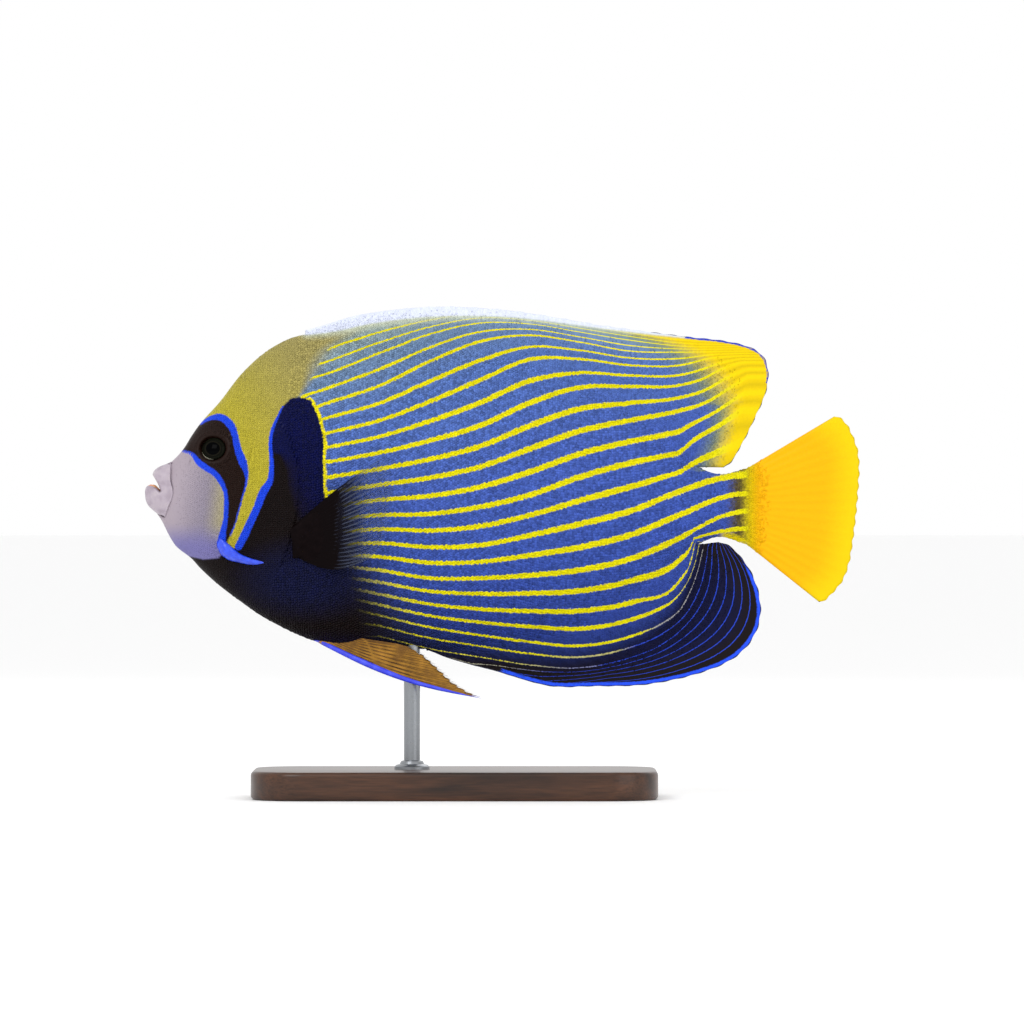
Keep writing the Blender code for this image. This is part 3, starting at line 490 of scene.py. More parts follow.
PALE_RIM_WIDTH = smooth_line([
    (-84.0, 2.5), (-62.0, 6.5), (-30.0, 6.0), (0.0, 4.2), (30.0, 2.6), (55.0, 1.6), (80.0, 0.7)])
DORSAL_MARGIN = np.vstack((points_along(SPINY_DORSAL, 24), points_along(SOFT_DORSAL, 30)[1:]))
ANAL_MARGIN = np.vstack((points_along(SPINY_ANAL, 8), points_along(SOFT_ANAL, 36)[1:]))
TAIL_MARGIN = points_along(TAIL_EDGE, 30)

# %% [markdown]
# ## The stripes
# The yellow stripes are counted from the back down. A few of them are given as guide lines, and
# every point gets a stripe number between its two nearest guides, so that a whole number lies
# on a stripe. Low at the rear they turn round the anal fin, so there the same guides are read
# round a centre, by angle, and the fin's margin is the last of them.

# %% Stripe numbers
# Each stripe: points before the levels, its level at every x of GUIDE_X, and points after them.
GUIDE_X = [-51.4, -30.4, -9.4, 11.5, 32.5, 53.5]
STRIPE_LEVELS = {
    1: ([(-85, 183.5), (-73, 188.3)], [195.5, 200.6, 203.5, 201.9, 198.7, 195.2],
        [(74.5, 192.3), (100, 191)]),
    3: ([(-85, 174.3), (-72.5, 178.4)], [186.8, 194.8, 199.4, 199, 195.6, 192.2],
        [(74.5, 189.7), (100, 189.4)]),
    5: ([(-85, 161.5), (-72.5, 165.8)], [172.9, 183.4, 191.8, 194.3, 191.4, 187.6],
        [(74.5, 187.2), (100, 187.6)]),
    7: ([(-85, 149.8), (-72.5, 153.2)], [158.2, 166.2, 175.4, 184.3, 184.3, 181.7],
        [(74.5, 181.7), (88, 184.8), (100, 185.6)]),
    9: ([(-72.5, 141)], [144.8, 149.8, 156.1, 165.8, 172.5, 172.9],
        [(74.5, 173.3), (84.2, 176), (92.2, 180.3), (100, 183)]),
    11: ([(-72.5, 128)], [131.3, 134.3, 138.9, 146.5, 154, 158.6],
         [(74.5, 162.8), (85.5, 166.1), (94.7, 171.7), (103, 177)]),
    13: ([(-72.5, 116.6)], [118.7, 119.2, 122.1, 127.1, 134.7, 140.6],
         [(68, 143.6), (74.5, 145.2), (79.3, 149.5), (92.2, 157.5), (100, 163)]),
    15: ([(-72.5, 106.1)], [107, 105.3, 106.1, 110.3, 115, 120.4],
         [(74.5, 128.8), (95.5, 134.7), (102, 135.3)]),
    17: ([(-72.5, 97.7)], [95.6, 92.3, 92.3, 93.5, 95.6, 100.3],
         [(74.5, 109.1), (95.5, 119.2), (102, 120.4)]),
    19: ([(-72.5, 89.8)], [85.6, 81.4, 79.3, 78.4, 78.4, 81.8], [(74.5, 91), (78.6, 98), (80.4, 105.8)]),
    21: ([(-72.5, 81.8)], [76.7, 71.7, 68.3, 65.4, 63.7, 67.5],
         [(66, 72.6), (74.5, 78.8), (78, 85), (81.5, 94), (84.2, 104.6)]),
    23: ([], [67.9, 62.5, 59.1, 55.7, 54.5, 58.7],
         [(68, 65), (76, 71.5), (82, 79), (85.8, 87), (87.6, 96), (88, 105)]),
}
GUIDES = {number: [*front, *zip(GUIDE_X, levels), *rear]
          for number, (front, levels, rear) in STRIPE_LEVELS.items()}
STRIPE_NUMBERS = np.array(list(GUIDES), float)
GUIDE_LINES = {number: smooth_line(points, even=False) for number, points in GUIDES.items()}
TURN_X, TURN_Z = 45.0, 118.0
TURNED_FROM_X, TURNED_TOP_Z = 80.4, 107.5
FIRST_TURNED, LAST_GUIDE, MARGIN_NUMBER = 19, 23, 29.4
ANAL_LEVEL = smooth_line([
    (-32.3, 61.2), (-14.7, 56.2), (-1.1, 52.6), (9.0, 49.4), (19.1, 46.9), (38.9, 46.7), (60.3, 47.4)])


def turned(points):
    """A line as radius by angle round the turning centre, angle 0 straight down."""
    dx, dz = np.array(points, float).T - np.array([[TURN_X], [TURN_Z]])
    angle = np.arctan2(dx, -dz)
    keep = angle > -0.5
    angle, radius = angle[keep], np.hypot(dx, dz)[keep]
    rising = np.concatenate(([True], np.diff(np.maximum.accumulate(angle)) > 1e-4))
    return smooth_line(np.column_stack((angle[rising], radius[rising])))


TURNED_GUIDES = [turned(sampled(GUIDES[number])) for number in (FIRST_TURNED, 21, LAST_GUIDE)]
TURNED_GUIDES.append(turned(ANAL_MARGIN))
TURNED_NUMBERS = np.array([FIRST_TURNED, 21.0, LAST_GUIDE, MARGIN_NUMBER])


def number_between(value, guides, numbers):
    """The number at a value, read between guides whose values rise with their numbers."""
    result = np.full(np.shape(value), numbers[0])
    for low, high, first, last in zip(guides, guides[1:], numbers, numbers[1:]):
        share = (value - low) / np.maximum(high - low, 0.3)
        beyond = last == numbers[-1]
        share = np.maximum(share, 0.0) if beyond else np.clip(share, 0.0, 1.0)
        result = np.where(share > 0, first + share * (last - first), result)
    below = (value - guides[0]) / np.maximum(guides[1] - guides[0], 0.3)
    return np.where(below < 0, numbers[0] + below * (numbers[1] - numbers[0]), result)


def stripe_number(x, z):
    """How many stripes a point lies below the back, as a number that is whole on a stripe."""
    number = number_between(-z, [-line(x) for line in GUIDE_LINES.values()], STRIPE_NUMBERS)
    angle, radius = np.arctan2(x - TURN_X, TURN_Z - z), np.hypot(x - TURN_X, z - TURN_Z)
    round_fin = number_between(radius, [line(angle) for line in TURNED_GUIDES], TURNED_NUMBERS)
    last_level = GUIDE_LINES[LAST_GUIDE](x)
    fin_depth = (last_level - z) / np.maximum(last_level - ANAL_LEVEL(x), 1.0)
    margin = np.interp(x, [-12.0, TURN_X], [24.2, MARGIN_NUMBER])
    in_fin = LAST_GUIDE + fin_depth * (margin - LAST_GUIDE)
    number = np.where((x < TURN_X) & (fin_depth > 0.0), in_fin, number)
    turned_part = (z < GUIDE_LINES[FIRST_TURNED](x)) | (x > TURNED_FROM_X)
    low_rear = (x > TURN_X) & (z < TURN_Z) & turned_part & (z < TURNED_TOP_Z)
    return np.where(low_rear, round_fin, number)


# %% All the patches at once
OUTSIDE, FAR_AWAY = -3.0, 50.0
BLUE_LINES = (MASK_REAR, CHEEK_REAR, BAND_REAR)
RIM_END_X = 80.0


def in_tail(x, z):
    """True on the tail fin, which the lobes of dorsal and anal fin pass above and below."""
    return (x > 98.0) & (z > 103.0 - 0.8 * (x - 103.0)) & (z < 141.0 + 0.62 * (x - 103.0))


def markings(x, z):
    """For each patch: how far inside it every point lies, in mm or in widths of its soft edge."""
    number = stripe_number(x, z)
    tail = in_tail(x, z)
    above, below = (z > BACK(x)) & ~tail, (z < BELLY(x)) & ~tail
    dorsal_rim = np.where(z > BACK(x) - 6.0, line_distance(x, z, DORSAL_MARGIN), FAR_AWAY)
    anal_rim = np.where(z < BELLY(x) + 6.0, line_distance(x, z, ANAL_MARGIN), FAR_AWAY)
    tail_rim = np.where(tail, line_distance(x, z, TAIL_MARGIN), FAR_AWAY)

    # Stripes start sharply behind the shoulder, and fade in below the pectoral fin.
    low = np.clip(112.0 - z, 0.0, 26.0)
    behind_front = (x - STRIPES_FRONT(z) - 0.30 * low) / (0.8 + 0.55 * low)
    nape_soft = 0.5 + 0.38 * np.clip(z - 167.0, 0.0, 14.0)
    breast_soft = 0.5 + 0.9 * np.clip(x + 93.0, 0.0, 12.0)

    # The anal fin darkens from one stripe number on, and the root of the tail is yellow below.
    dark_from = np.interp(x, [-30.0, 24.0, 60.0, 72.0, 80.0], [23.6, 22.2, 21.0, 20.2, 19.5])
    under_root = BELLY(x) - z
    root_band = np.minimum.reduce([(under_root + 2.4) / 1.2, (x - 92.0) / 2.5, (0.6 - under_root) / 0.2])

    # The yellow lobe of the dorsal fin, and where stripes get thin and blue.
    lobe = np.where(above | (x > 70), (x - LOBE_FRONT(z)) / np.where(z > 165.0, 9.0, 5.0), OUTSIDE)
    lobe = lobe - np.where(tail | (z < 137.0), 9.0, 0.0)
    thin_front = -np.clip((30.0 - x) / 30.0, 0.0, 1.0)
    thin_rear = np.where((number > 18.4) & (z < TURNED_TOP_Z), (x - 75.0 + 9.0 * (number - 19.0)) / 8.0, 0.0)
    tail_shade = np.minimum((x - 95.8) / 3.2, (105.5 - x) / 1.5)
    rim_width = PALE_RIM_WIDTH(x)
    anal_taper = 0.09 * np.clip(z - 92.0, 0.0, 7.5)
    return {
        "stripe": number,
        "striped": np.minimum(behind_front, np.where(tail, (TAIL_X - x) / 1.2, 3.0)),
        "nape": (NAPE_REAR(z) - x) / nape_soft,
        "nape_grey": (0.62 * (x + 100.0) + 0.5 * (z - 172.0)) / 22.0,
        "shoulder": inside_outline(x, z, SHOULDER_PATCH),
        "breast": inside_outline(x, z, BREAST_PATCH) / breast_soft,
        "low_front": (-46.0 - x + 0.75 * (84.0 - z)) / 20.0,
        "cheek": inside_outline(x, z, CHEEK_PATCH),
        "snout": (-x - 129.0 + 0.25 * (z - 128.0)) / 11.0,
        "cheek_rear": (x + 121.8 - 0.12 * (z - 110.0)) / 5.5,
        "chin": (110.5 - z) / 6.0,
        "mask": inside_outline(x, z, MASK_PATCH),
        "blue_line": np.maximum.reduce([inside_line(x, z, line) for line in BLUE_LINES]),
        "yellow_line": inside_line(x, z, SHOULDER_REAR),
        "lobe": lobe,
        "thin": np.clip(thin_rear, thin_front, 1.0),
        "lobe_edge": lobe + 1.2,
        "tail": np.maximum(np.where(tail, (x - 101.7) / 3.0, OUTSIDE), root_band),
        "tail_front": (105.5 - x) / 3.5,
        "tail_rim": (8.0 - tail_rim) / 8.0,
        "tail_shade": np.where(np.abs(z - 122.0) < 17.0, tail_shade, OUTSIDE),
        "anal_dark": np.where((number > 19.0) & ~tail, (number - dark_from) / 1.3, OUTSIDE),
        "anal_brown": (8.5 - anal_rim) / 5.0,
        "pale_rim": np.where(x < RIM_END_X, (rim_width - dorsal_rim) / np.where(x < 55.0, 2.2, 0.8), OUTSIDE),
        "white_rim": np.where(x < RIM_END_X, (0.72 * rim_width - dorsal_rim) / 0.6, OUTSIDE),
        "dark_rim": np.where((x > 62.0) & above, 0.30 - dorsal_rim,
                             np.where(below, 0.38 - anal_rim, OUTSIDE)),
        "breast_blue": (13.0 - np.hypot((x + 82.0) * 0.55, z - 92.0)) / 8.0,
        "dorsal_line": np.where((x > 76.0) & (z > 174.0) & above, 0.45 - np.abs(dorsal_rim - 0.45), OUTSIDE),
        "anal_line": np.where((x > -1.0) & (z < 99.5) & below,
                              0.68 - np.abs(anal_rim - 1.1) - anal_taper, OUTSIDE),
    }


MARKS = [*markings(np.zeros(1), np.full(1, 120.0)), "tone"]
print("patches:", ", ".join(MARKS))


# %% [markdown]
# ## Colours and materials
# Hex colours are how the eye names them, and Blender mixes light in linear numbers, so one
# function converts. One more function adds a node with its settings and links.

# %% Colour and node helpers
def linear(code):
    """An sRGB hex colour as linear red, green, blue and alpha."""
    parts = [int(code[i:i + 2], 16) / 255 for i in (0, 2, 4)]
    return (*[part / 12.92 if part <= 0.04045 else ((part + 0.055) / 1.055) ** 2.4 for part in parts], 1.0)


def fill(tree, node, inputs):
    """Give sockets of a node a value, or a link from another node's output."""
    for name, value in inputs.items():
        if isinstance(value, bpy.types.NodeSocket):
            tree.links.new(value, node.inputs[name])
        else:
            node.inputs[name].default_value = value


def add_node(tree, kind, inputs=None, out=0, **settings):
    """One output of a new node: settings are the node's properties, inputs fill its sockets."""
    node = tree.nodes.new("ShaderNode" + kind)
    for name, value in settings.items():
        setattr(node, name, value)
    fill(tree, node, inputs or {})
    return node.outputs[out]


def set_stops(ramp, stops):
    """Give a new colour ramp its stops: each is a position and a hex colour."""
    for element, (position, code) in zip(ramp.elements, (stops[0], stops[-1])):
        element.position, element.color = position, linear(code)
    for position, code in stops[1:-1]:
        ramp.elements.new(position).color = linear(code)


def new_look(name, **values):
    """A material, its tree and its Principled shader, with constants set on the shader."""
    look = bpy.data.materials.new(name)
    look.use_nodes = True
    shader = look.node_tree.nodes["Principled BSDF"]
    fill(look.node_tree, shader, {socket.replace("_", " "): value for socket, value in values.items()})
    return look, look.node_tree, shader


# %% [markdown]
# ### Fish skin
# Living scales are thin clear bone over pigment, under a film of slime. The pigment gives the
# pattern, the bone a soft broad shine, and the slime a thin sharp one, which is the coat.

# %% Colours of the fish
# Each layer: the mark, its colour, half the width of its soft edge, and how ragged that edge is.
LAYERS = [
    ("low_front", "1E2038", 1.0, 0.5), ("nape", "B5A930", 1.0, 0.5), ("shoulder", "01063C", 0.5, 0.7),
    ("breast", "0F0606", 1.0, 0.5), ("cheek", "888091", 0.5, 0.3), ("mask", "1E0F0A", 0.5, 0.3),
    ("lobe_edge", "74836E", 1.0, 0.8), ("lobe", "E6CA00", 1.0, 0.8), ("tail_shade", "544A2C", 1.0, 1.6),
    ("tail", "F5B400", 1.0, 0.9), ("anal_dark", "070A30", 1.0, 0.3)]
LINES = [
    ("yellow_line", "E6D904", 0.3, 0.8), ("pale_rim", "C3CAB4", 1.0, 0.5), ("white_rim", "D6DCF0", 1.0, 0.4),
    ("dark_rim", "22253C", 0.2, 0.3), ("dorsal_line", "2A3DB8", 0.25, 0.6),
    ("anal_line", "2552F2", 0.25, 0.5), ("blue_line", "1B44DC", 0.3, 0.45)]

# Some layers blend: the nape from yellow to grey-olive, and the cheek from pink to violet.
BLENDS = {
    "nape": [("nape_grey", "A0955A")],
    "breast": [("breast_blue", "0B0F33")],
    "cheek": [("cheek_rear", "AAA17C"), ("snout", "A69AA4"), ("chin", "7873A8")],
    "tail": [("tail_rim", "EACB02"), ("tail_front", "D9C400")],
    "anal_dark": [("anal_brown", "130C0E")]}

# The blue ground by stripe number, paler and greyer towards the back and navy towards the belly.
GROUND = [(0.0, "93A39C"), (0.1, "6D87A6"), (0.22, "5471B4"), (0.4, "4660B2"), (0.55, "3C55AA"),
          (0.66, "2F4496"), (0.73, "20306E"), (0.8, "14183E")]


# %% Painted fish skin
def skin_look(name):
    """Pigment, fine grain and slime of the fish's skin and scales."""
    look, tree, shader = new_look(
        name, Roughness=0.42, Coat_Weight=0.03, Coat_Roughness=0.2, Specular_IOR_Level=0.09)
    place = add_node(tree, "TexCoord", out="Object")
    ragged = add_node(tree, "TexNoise", {"Vector": place, "Scale": 1300.0, "Detail": 1.0})
    upright = add_node(tree, "Mapping", {"Vector": place, "Scale": (1.0, 1.0, 0.45)})
    grain = add_node(tree, "TexNoise", {"Vector": upright, "Scale": 1100.0, "Detail": 3.0})
    cloud = add_node(tree, "TexNoise", {"Vector": place, "Scale": 90.0, "Detail": 3.0})
    rough_edge = add_node(tree, "Math", {0: ragged, 1: 0.5}, operation="SUBTRACT")
    marks = {mark: add_node(tree, "Attribute", out="Fac", attribute_name=mark) for mark in MARKS}

    def amount(mark, soft, uneven):
        """How much a patch covers: 0 outside, 1 inside, with a soft and ragged edge."""
        moved = add_node(tree, "Math", {0: rough_edge, 1: uneven, 2: marks[mark]}, operation="MULTIPLY_ADD")
        return add_node(tree, "MapRange", {0: moved, 1: -soft, 2: soft}, interpolation_type="SMOOTHSTEP")

    def laid_over(colour, mark, tint, soft, uneven):
        """A colour with a patch of another tint laid over it."""
        return add_node(tree, "Mix", {0: amount(mark, soft, uneven), 6: colour, 7: tint}, out=2,
                        data_type="RGBA")

    # The distance from the nearest stripe, in widths of one blue and one yellow stripe.
    number = marks["stripe"]
    uneven_number = add_node(tree, "Math", {0: rough_edge, 1: 0.11, 2: number}, operation="MULTIPLY_ADD")
    from_stripe = add_node(tree, "Math", {0: uneven_number, 1: 0.5}, operation="PINGPONG")

    high = add_node(tree, "Math", {0: number, 1: 1 / 30}, operation="MULTIPLY")
    colour = add_node(tree, "ValToRGB", {0: high})
    set_stops(colour.node.color_ramp, GROUND)
    streaks = add_node(tree, "MapRange", {0: from_stripe, 1: 0.15, 2: 0.5, 3: 0.0, 4: 0.75})
    lobe_yellow = add_node(tree, "Mix", {0: streaks, 6: linear("ECCB00"), 7: linear("CDB004")}, out=2,
                           data_type="RGBA")
    for mark, code, soft, uneven in LAYERS:
        tint = lobe_yellow if mark == "lobe" else linear(code)
        for second, second_code in BLENDS.get(mark, []):
            tint = laid_over(tint, second, linear(second_code), 1.0, 0.3)
        colour = laid_over(colour, mark, tint, soft, uneven)

    # Yellow stripes where the stripe number is close to whole, thin and blue on the anal fin.
    thin_belly = add_node(tree, "MapRange", {0: number, 1: 19.5, 2: 23.0, 3: 0.0, 4: -0.085})
    thin_back = add_node(tree, "MapRange", {0: number, 1: 3.0, 2: 10.0, 3: 0.095, 4: 0.135})
    half = add_node(tree, "Math", {0: thin_belly, 1: thin_back})
    turning = add_node(tree, "Math", {0: marks["thin"], 1: 0.0}, operation="MAXIMUM")
    half = add_node(tree, "Math", {0: turning, 1: -0.085, 2: half}, operation="MULTIPLY_ADD")
    half = add_node(tree, "Math", {0: half, 1: 0.045}, operation="MAXIMUM")
    past = add_node(tree, "Math", {0: half, 1: from_stripe}, operation="SUBTRACT")
    stripe = add_node(tree, "MapRange", {0: past, 1: -0.022, 2: 0.022}, interpolation_type="SMOOTHSTEP")
    inside_lobe = add_node(tree, "MapRange", {0: marks["lobe"], 1: -0.2, 2: 1.2, 3: 1.0, 4: 0.25})
    reach = add_node(tree, "Math", {0: amount("striped", 1.0, 0.3), 1: inside_lobe}, operation="MULTIPLY")
    stripe = add_node(tree, "Math", {0: stripe, 1: reach}, operation="MULTIPLY")
    paler = add_node(tree, "Math", {0: marks["thin"], 1: 1.6, 2: number}, operation="MULTIPLY_ADD")
    low = add_node(tree, "MapRange", {0: paler, 1: 21.2, 2: 23.6})
    stripe_tint = add_node(tree, "Mix", {0: low, 6: linear("E6DC02"), 7: linear("2746C8")}, out=2,
                           data_type="RGBA")
    colour = add_node(tree, "Mix", {0: stripe, 6: colour, 7: stripe_tint}, out=2, data_type="RGBA")
    for mark, code, soft, uneven in LINES:
        colour = laid_over(colour, mark, linear(code), soft, uneven)

    # No two scales hold quite the same pigment, and the skin between them has their middle tone.
    tone = add_node(tree, "Math", {0: grain, 1: 0.55, 2: marks["tone"]}, operation="MULTIPLY_ADD")
    tone = add_node(tree, "Math", {0: cloud, 1: 0.25, 2: tone}, operation="MULTIPLY_ADD")
    value = add_node(tree, "MapRange", {0: tone, 1: 0.15, 2: 1.15, 3: 0.55, 4: 1.35})
    yellow_fin = add_node(tree, "Math", {0: marks["tail"], 1: marks["lobe"]}, operation="MAXIMUM")
    smoother = add_node(tree, "MapRange", {0: yellow_fin, 1: 0.0, 2: 1.5, 3: 0.0, 4: 0.85})
    smoother = add_node(tree, "Math", {0: stripe, 1: 0.6, 2: smoother}, operation="MULTIPLY_ADD")
    for mark, share in (("cheek", 0.6), ("nape", 0.35)):
        smoother = add_node(tree, "Math", {0: amount(mark, 1.0, 0.0), 1: share, 2: smoother},
                            operation="MULTIPLY_ADD", use_clamp=True)
    value = add_node(tree, "Mix", {0: smoother, 2: value, 3: 0.93})
    toned = add_node(tree, "HueSaturation", {"Color": colour, "Value": value})
    rough = add_node(tree, "MapRange", {0: grain, 3: 0.32, 4: 0.56})
    bump = add_node(tree, "Bump", {"Height": grain, "Strength": 0.25, "Distance": 0.0003})
    fill(tree, shader, {"Base Color": toned, "Roughness": rough, "Normal": bump})
    return look


fish_skin = skin_look("fish_skin_pigment")
print("layers of pigment:", len(LAYERS), "and lines:", len(LINES))

# %% [markdown]
# ### Finish the skin
# Each piece ends the same way: doubles merged, normals outwards, millimetres turned to metres,
# smooth shading, its material added, and the piece set under the model's root with the parts it replaces
# hidden.

# %% Helpers that finish a piece
SIDES = ((-1, "left"), (1, "right"))


def add_piece(name, data, look, replaces=()):
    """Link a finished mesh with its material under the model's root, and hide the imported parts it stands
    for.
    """
    data.materials.append(look)
    thing = bpy.data.objects.new(name, data)
    bpy.context.scene.collection.objects.link(thing)
    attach(thing, "root")
    if replaces:
        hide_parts(*replaces)


def finish_mesh(name, mesh, sharp=50.0, merge=WELD):
    """A bmesh in millimetres as a smooth-shaded mesh in metres, its faces pointing outwards."""
    if merge:
        bmesh.ops.remove_doubles(mesh, verts=mesh.verts[:], dist=merge)
    bmesh.ops.recalc_face_normals(mesh, faces=mesh.faces[:])
    bmesh.ops.scale(mesh, vec=(MM, MM, MM), verts=mesh.verts[:])
    data = bpy.data.meshes.new(name)
    mesh.to_mesh(data)
    mesh.free()
    data.shade_smooth()
    data.set_sharp_from_angle(angle=math.radians(sharp))
    return data


def finish_piece(name, mesh, look, slot, replaces=(), side=-1, **finish):
    """Finish a bmesh and add it: as it is, or as its mirror image for the right side."""
    data = finish_mesh(name, mesh, **finish)
    if side > 0:
        data.transform(Matrix.Diagonal((1.0, -1.0, 1.0, 1.0)))
        data.flip_normals()
    add_piece(name, data, look, replaces)


def paint(data, patches, tone):
    """Store every patch of the pattern on a mesh, one number for each corner, for its material."""
    for mark, values in (*patches.items(), ("tone", tone)):
        data.attributes.new(mark, "FLOAT", "POINT").data.foreach_set("value", np.asarray(values, np.float32))


# %% The skin
SKIN_TONE = 0.25
whole = skin_half.copy()
add_far_side(whole)
open_edges = sum(not edge.is_manifold for edge in whole.edges)
skin_data = finish_mesh("skin", whole, sharp=180.0, merge=0.0)
skin_corners = np.empty(len(skin_data.vertices) * 3, np.float32)
skin_data.vertices.foreach_get("co", skin_corners)
skin_x, _, skin_z = (skin_corners.reshape(-1, 3) / MM).astype(float).T
paint(skin_data, markings(skin_x, skin_z), np.full(len(skin_x), SKIN_TONE))
add_piece("skin", skin_data, fish_skin, replaces=(
    "head", "gill_cover_left", "gill_cover_right", "torso", "tail_root", "dorsal_fin_spiny",
    "dorsal_fin_soft", "anal_fin_spiny", "anal_fin_soft", "tail_fin"))
print("skin:", len(skin_data.polygons), "faces, edges left open:", open_edges)

# %% [markdown]
# ## A coat of scales
# A hair system or instances would vanish when the model is exported, so each scale is a small
# closed plate of eight corners, and thousands of them are joined into a few meshes. Their roots
# lie in staggered rows on the skin, found by a ray shot at it from the side. Scales are smallest
# on the face and towards the edges of the fins, as on the real fish.

# %% One scale, and where its faces are
SCALE_CORNERS = np.array([
    (-0.62, 0.0, -0.10), (-0.32, -0.54, -0.06), (0.34, -0.50, 0.02), (0.74, 0.0, 0.06),
    (0.34, 0.50, 0.02), (-0.32, 0.54, -0.06), (0.10, 0.0, 0.13), (0.0, 0.0, -0.22)])
SCALE_FACES = np.array([(i, (i + 1) % 6, 6) for i in range(6)] + [((i + 1) % 6, i, 7) for i in range(6)])
FLANK_PITCH, HEAD_PITCH, FIN_PITCH = 1.14, 0.88, 0.90
ROW_STEP = 0.86
FLANK_SPLIT_X = -5.0
FAR_LEFT = -60.0
JITTER, LIE_SPREAD, LENGTHS, LIFTS = 0.20, 0.13, (0.90, 1.16), (0.75, 1.25)
HEAD_REAR = smooth_line([
    (60.0, -101.0), (85.0, -97.0), (94.0, -95.0), (98.0, -92.8), (105.0, -89.8), (116.6, -86.6),
    (129.0, -85.2), (143.0, -86.4), (152.0, -89.4), (165.0, -90.0), (200.0, -84.0)])


def body_roots(first_x, last_x, pitch):
    """Staggered columns of roots, evenly spaced along the curve of each slice of the body."""
    roots = []
    for i, x in enumerate(np.arange(first_x, last_x, pitch * ROW_STEP)):
        level = np.linspace(BELLY(x), BACK(x), 400)
        half = body_half(np.full(400, x), level)
        arc = np.concatenate(([0.0], np.cumsum(np.hypot(np.diff(level), np.diff(half)))))
        steps = np.arange((0.25 + 0.5 * (i % 2)) * pitch, arc[-1], pitch)
        roots.append(np.column_stack((np.full(len(steps), x), np.interp(steps, arc, level))))
    return np.vstack(roots)


def flat_roots(low, high, pitch):
    """Staggered roots over a flat stretch between two (x, z) corners."""
    xs, zs = np.arange(low[0], high[0], pitch * ROW_STEP), np.arange(low[1], high[1], pitch)
    grid_x, grid_z = np.meshgrid(xs, zs)
    grid_z = grid_z + 0.5 * pitch * (np.arange(len(xs)) % 2)
    return np.column_stack((grid_x.ravel(), grid_z.ravel()))


def girth(x, z):
    """The way over the skin from the widest level of a slice to (x, z), and on over the fins."""
    level = WIDEST_LEVEL(x)
    body_z = np.clip(z, BELLY(x), BACK(x))
    steps = level + (body_z - level) * np.linspace(0.0, 1.0, 25)[:, None]
    half = body_half(np.broadcast_to(x, steps.shape), steps)
    way = np.hypot(np.diff(steps, axis=0), np.diff(half, axis=0)).sum(axis=0)
    return np.sign(body_z - level) * way + (z - body_z)


# %% Lay the scales and mirror them
UNWRAP_LENGTH, UNWRAP_GIRTH, UNWRAP_START, PATCH = 330.0, 420.0, (0.03, 155.0), 0.003
SIDE_MIDDLE = {"left": 0.25, "right": 0.75}


def roots_on_skin(roots):
    """Where rays shot from the side at the roots meet the skin: place, normal and face."""
    found = []
    for x, z in roots:
        hit, normal, face, _ = left_surface.ray_cast(Vector((x, FAR_LEFT, z)), Vector((0.0, 1.0, 0.0)))
        if hit:
            found.append((*hit, *normal, face))
    return np.array(found)


def plates(place, normal, lie, length, lift):
    """The corners of every scale: flat along the skin in its own lie, and lifted off it."""
    along = np.column_stack((np.cos(lie), np.zeros(len(lie)), np.sin(lie)))
    along -= normal * np.sum(along * normal, axis=1, keepdims=True)
    along /= np.linalg.norm(along, axis=1, keepdims=True)
    across = np.cross(normal, along)
    shape = SCALE_CORNERS[None] * length[:, None, None]
    return (place[:, None] + shape[..., :1] * along[:, None] + shape[..., 1:2] * across[:, None]
            + shape[..., 2:] * (normal * lift[:, None])[:, None])


def coat_mesh(name, points, faces, uv):
    """A mesh of loose triangles with its own unwrap, from arrays in millimetres."""
    data = bpy.data.meshes.new(name)
    data.vertices.add(len(points))
    data.vertices.foreach_set("co", (points * MM).astype(np.float32).ravel())
    data.loops.add(faces.size)
    data.loops.foreach_set("vertex_index", faces.astype(np.int32).ravel())
    data.polygons.add(len(faces))
    data.polygons.foreach_set("loop_start", np.arange(0, faces.size, 3, dtype=np.int32))
    data.update(calc_edges=True)
    data.uv_layers.new(name="OFBake").data.foreach_set("uv", uv.astype(np.float32).ravel())
    data.shade_smooth()
    return data


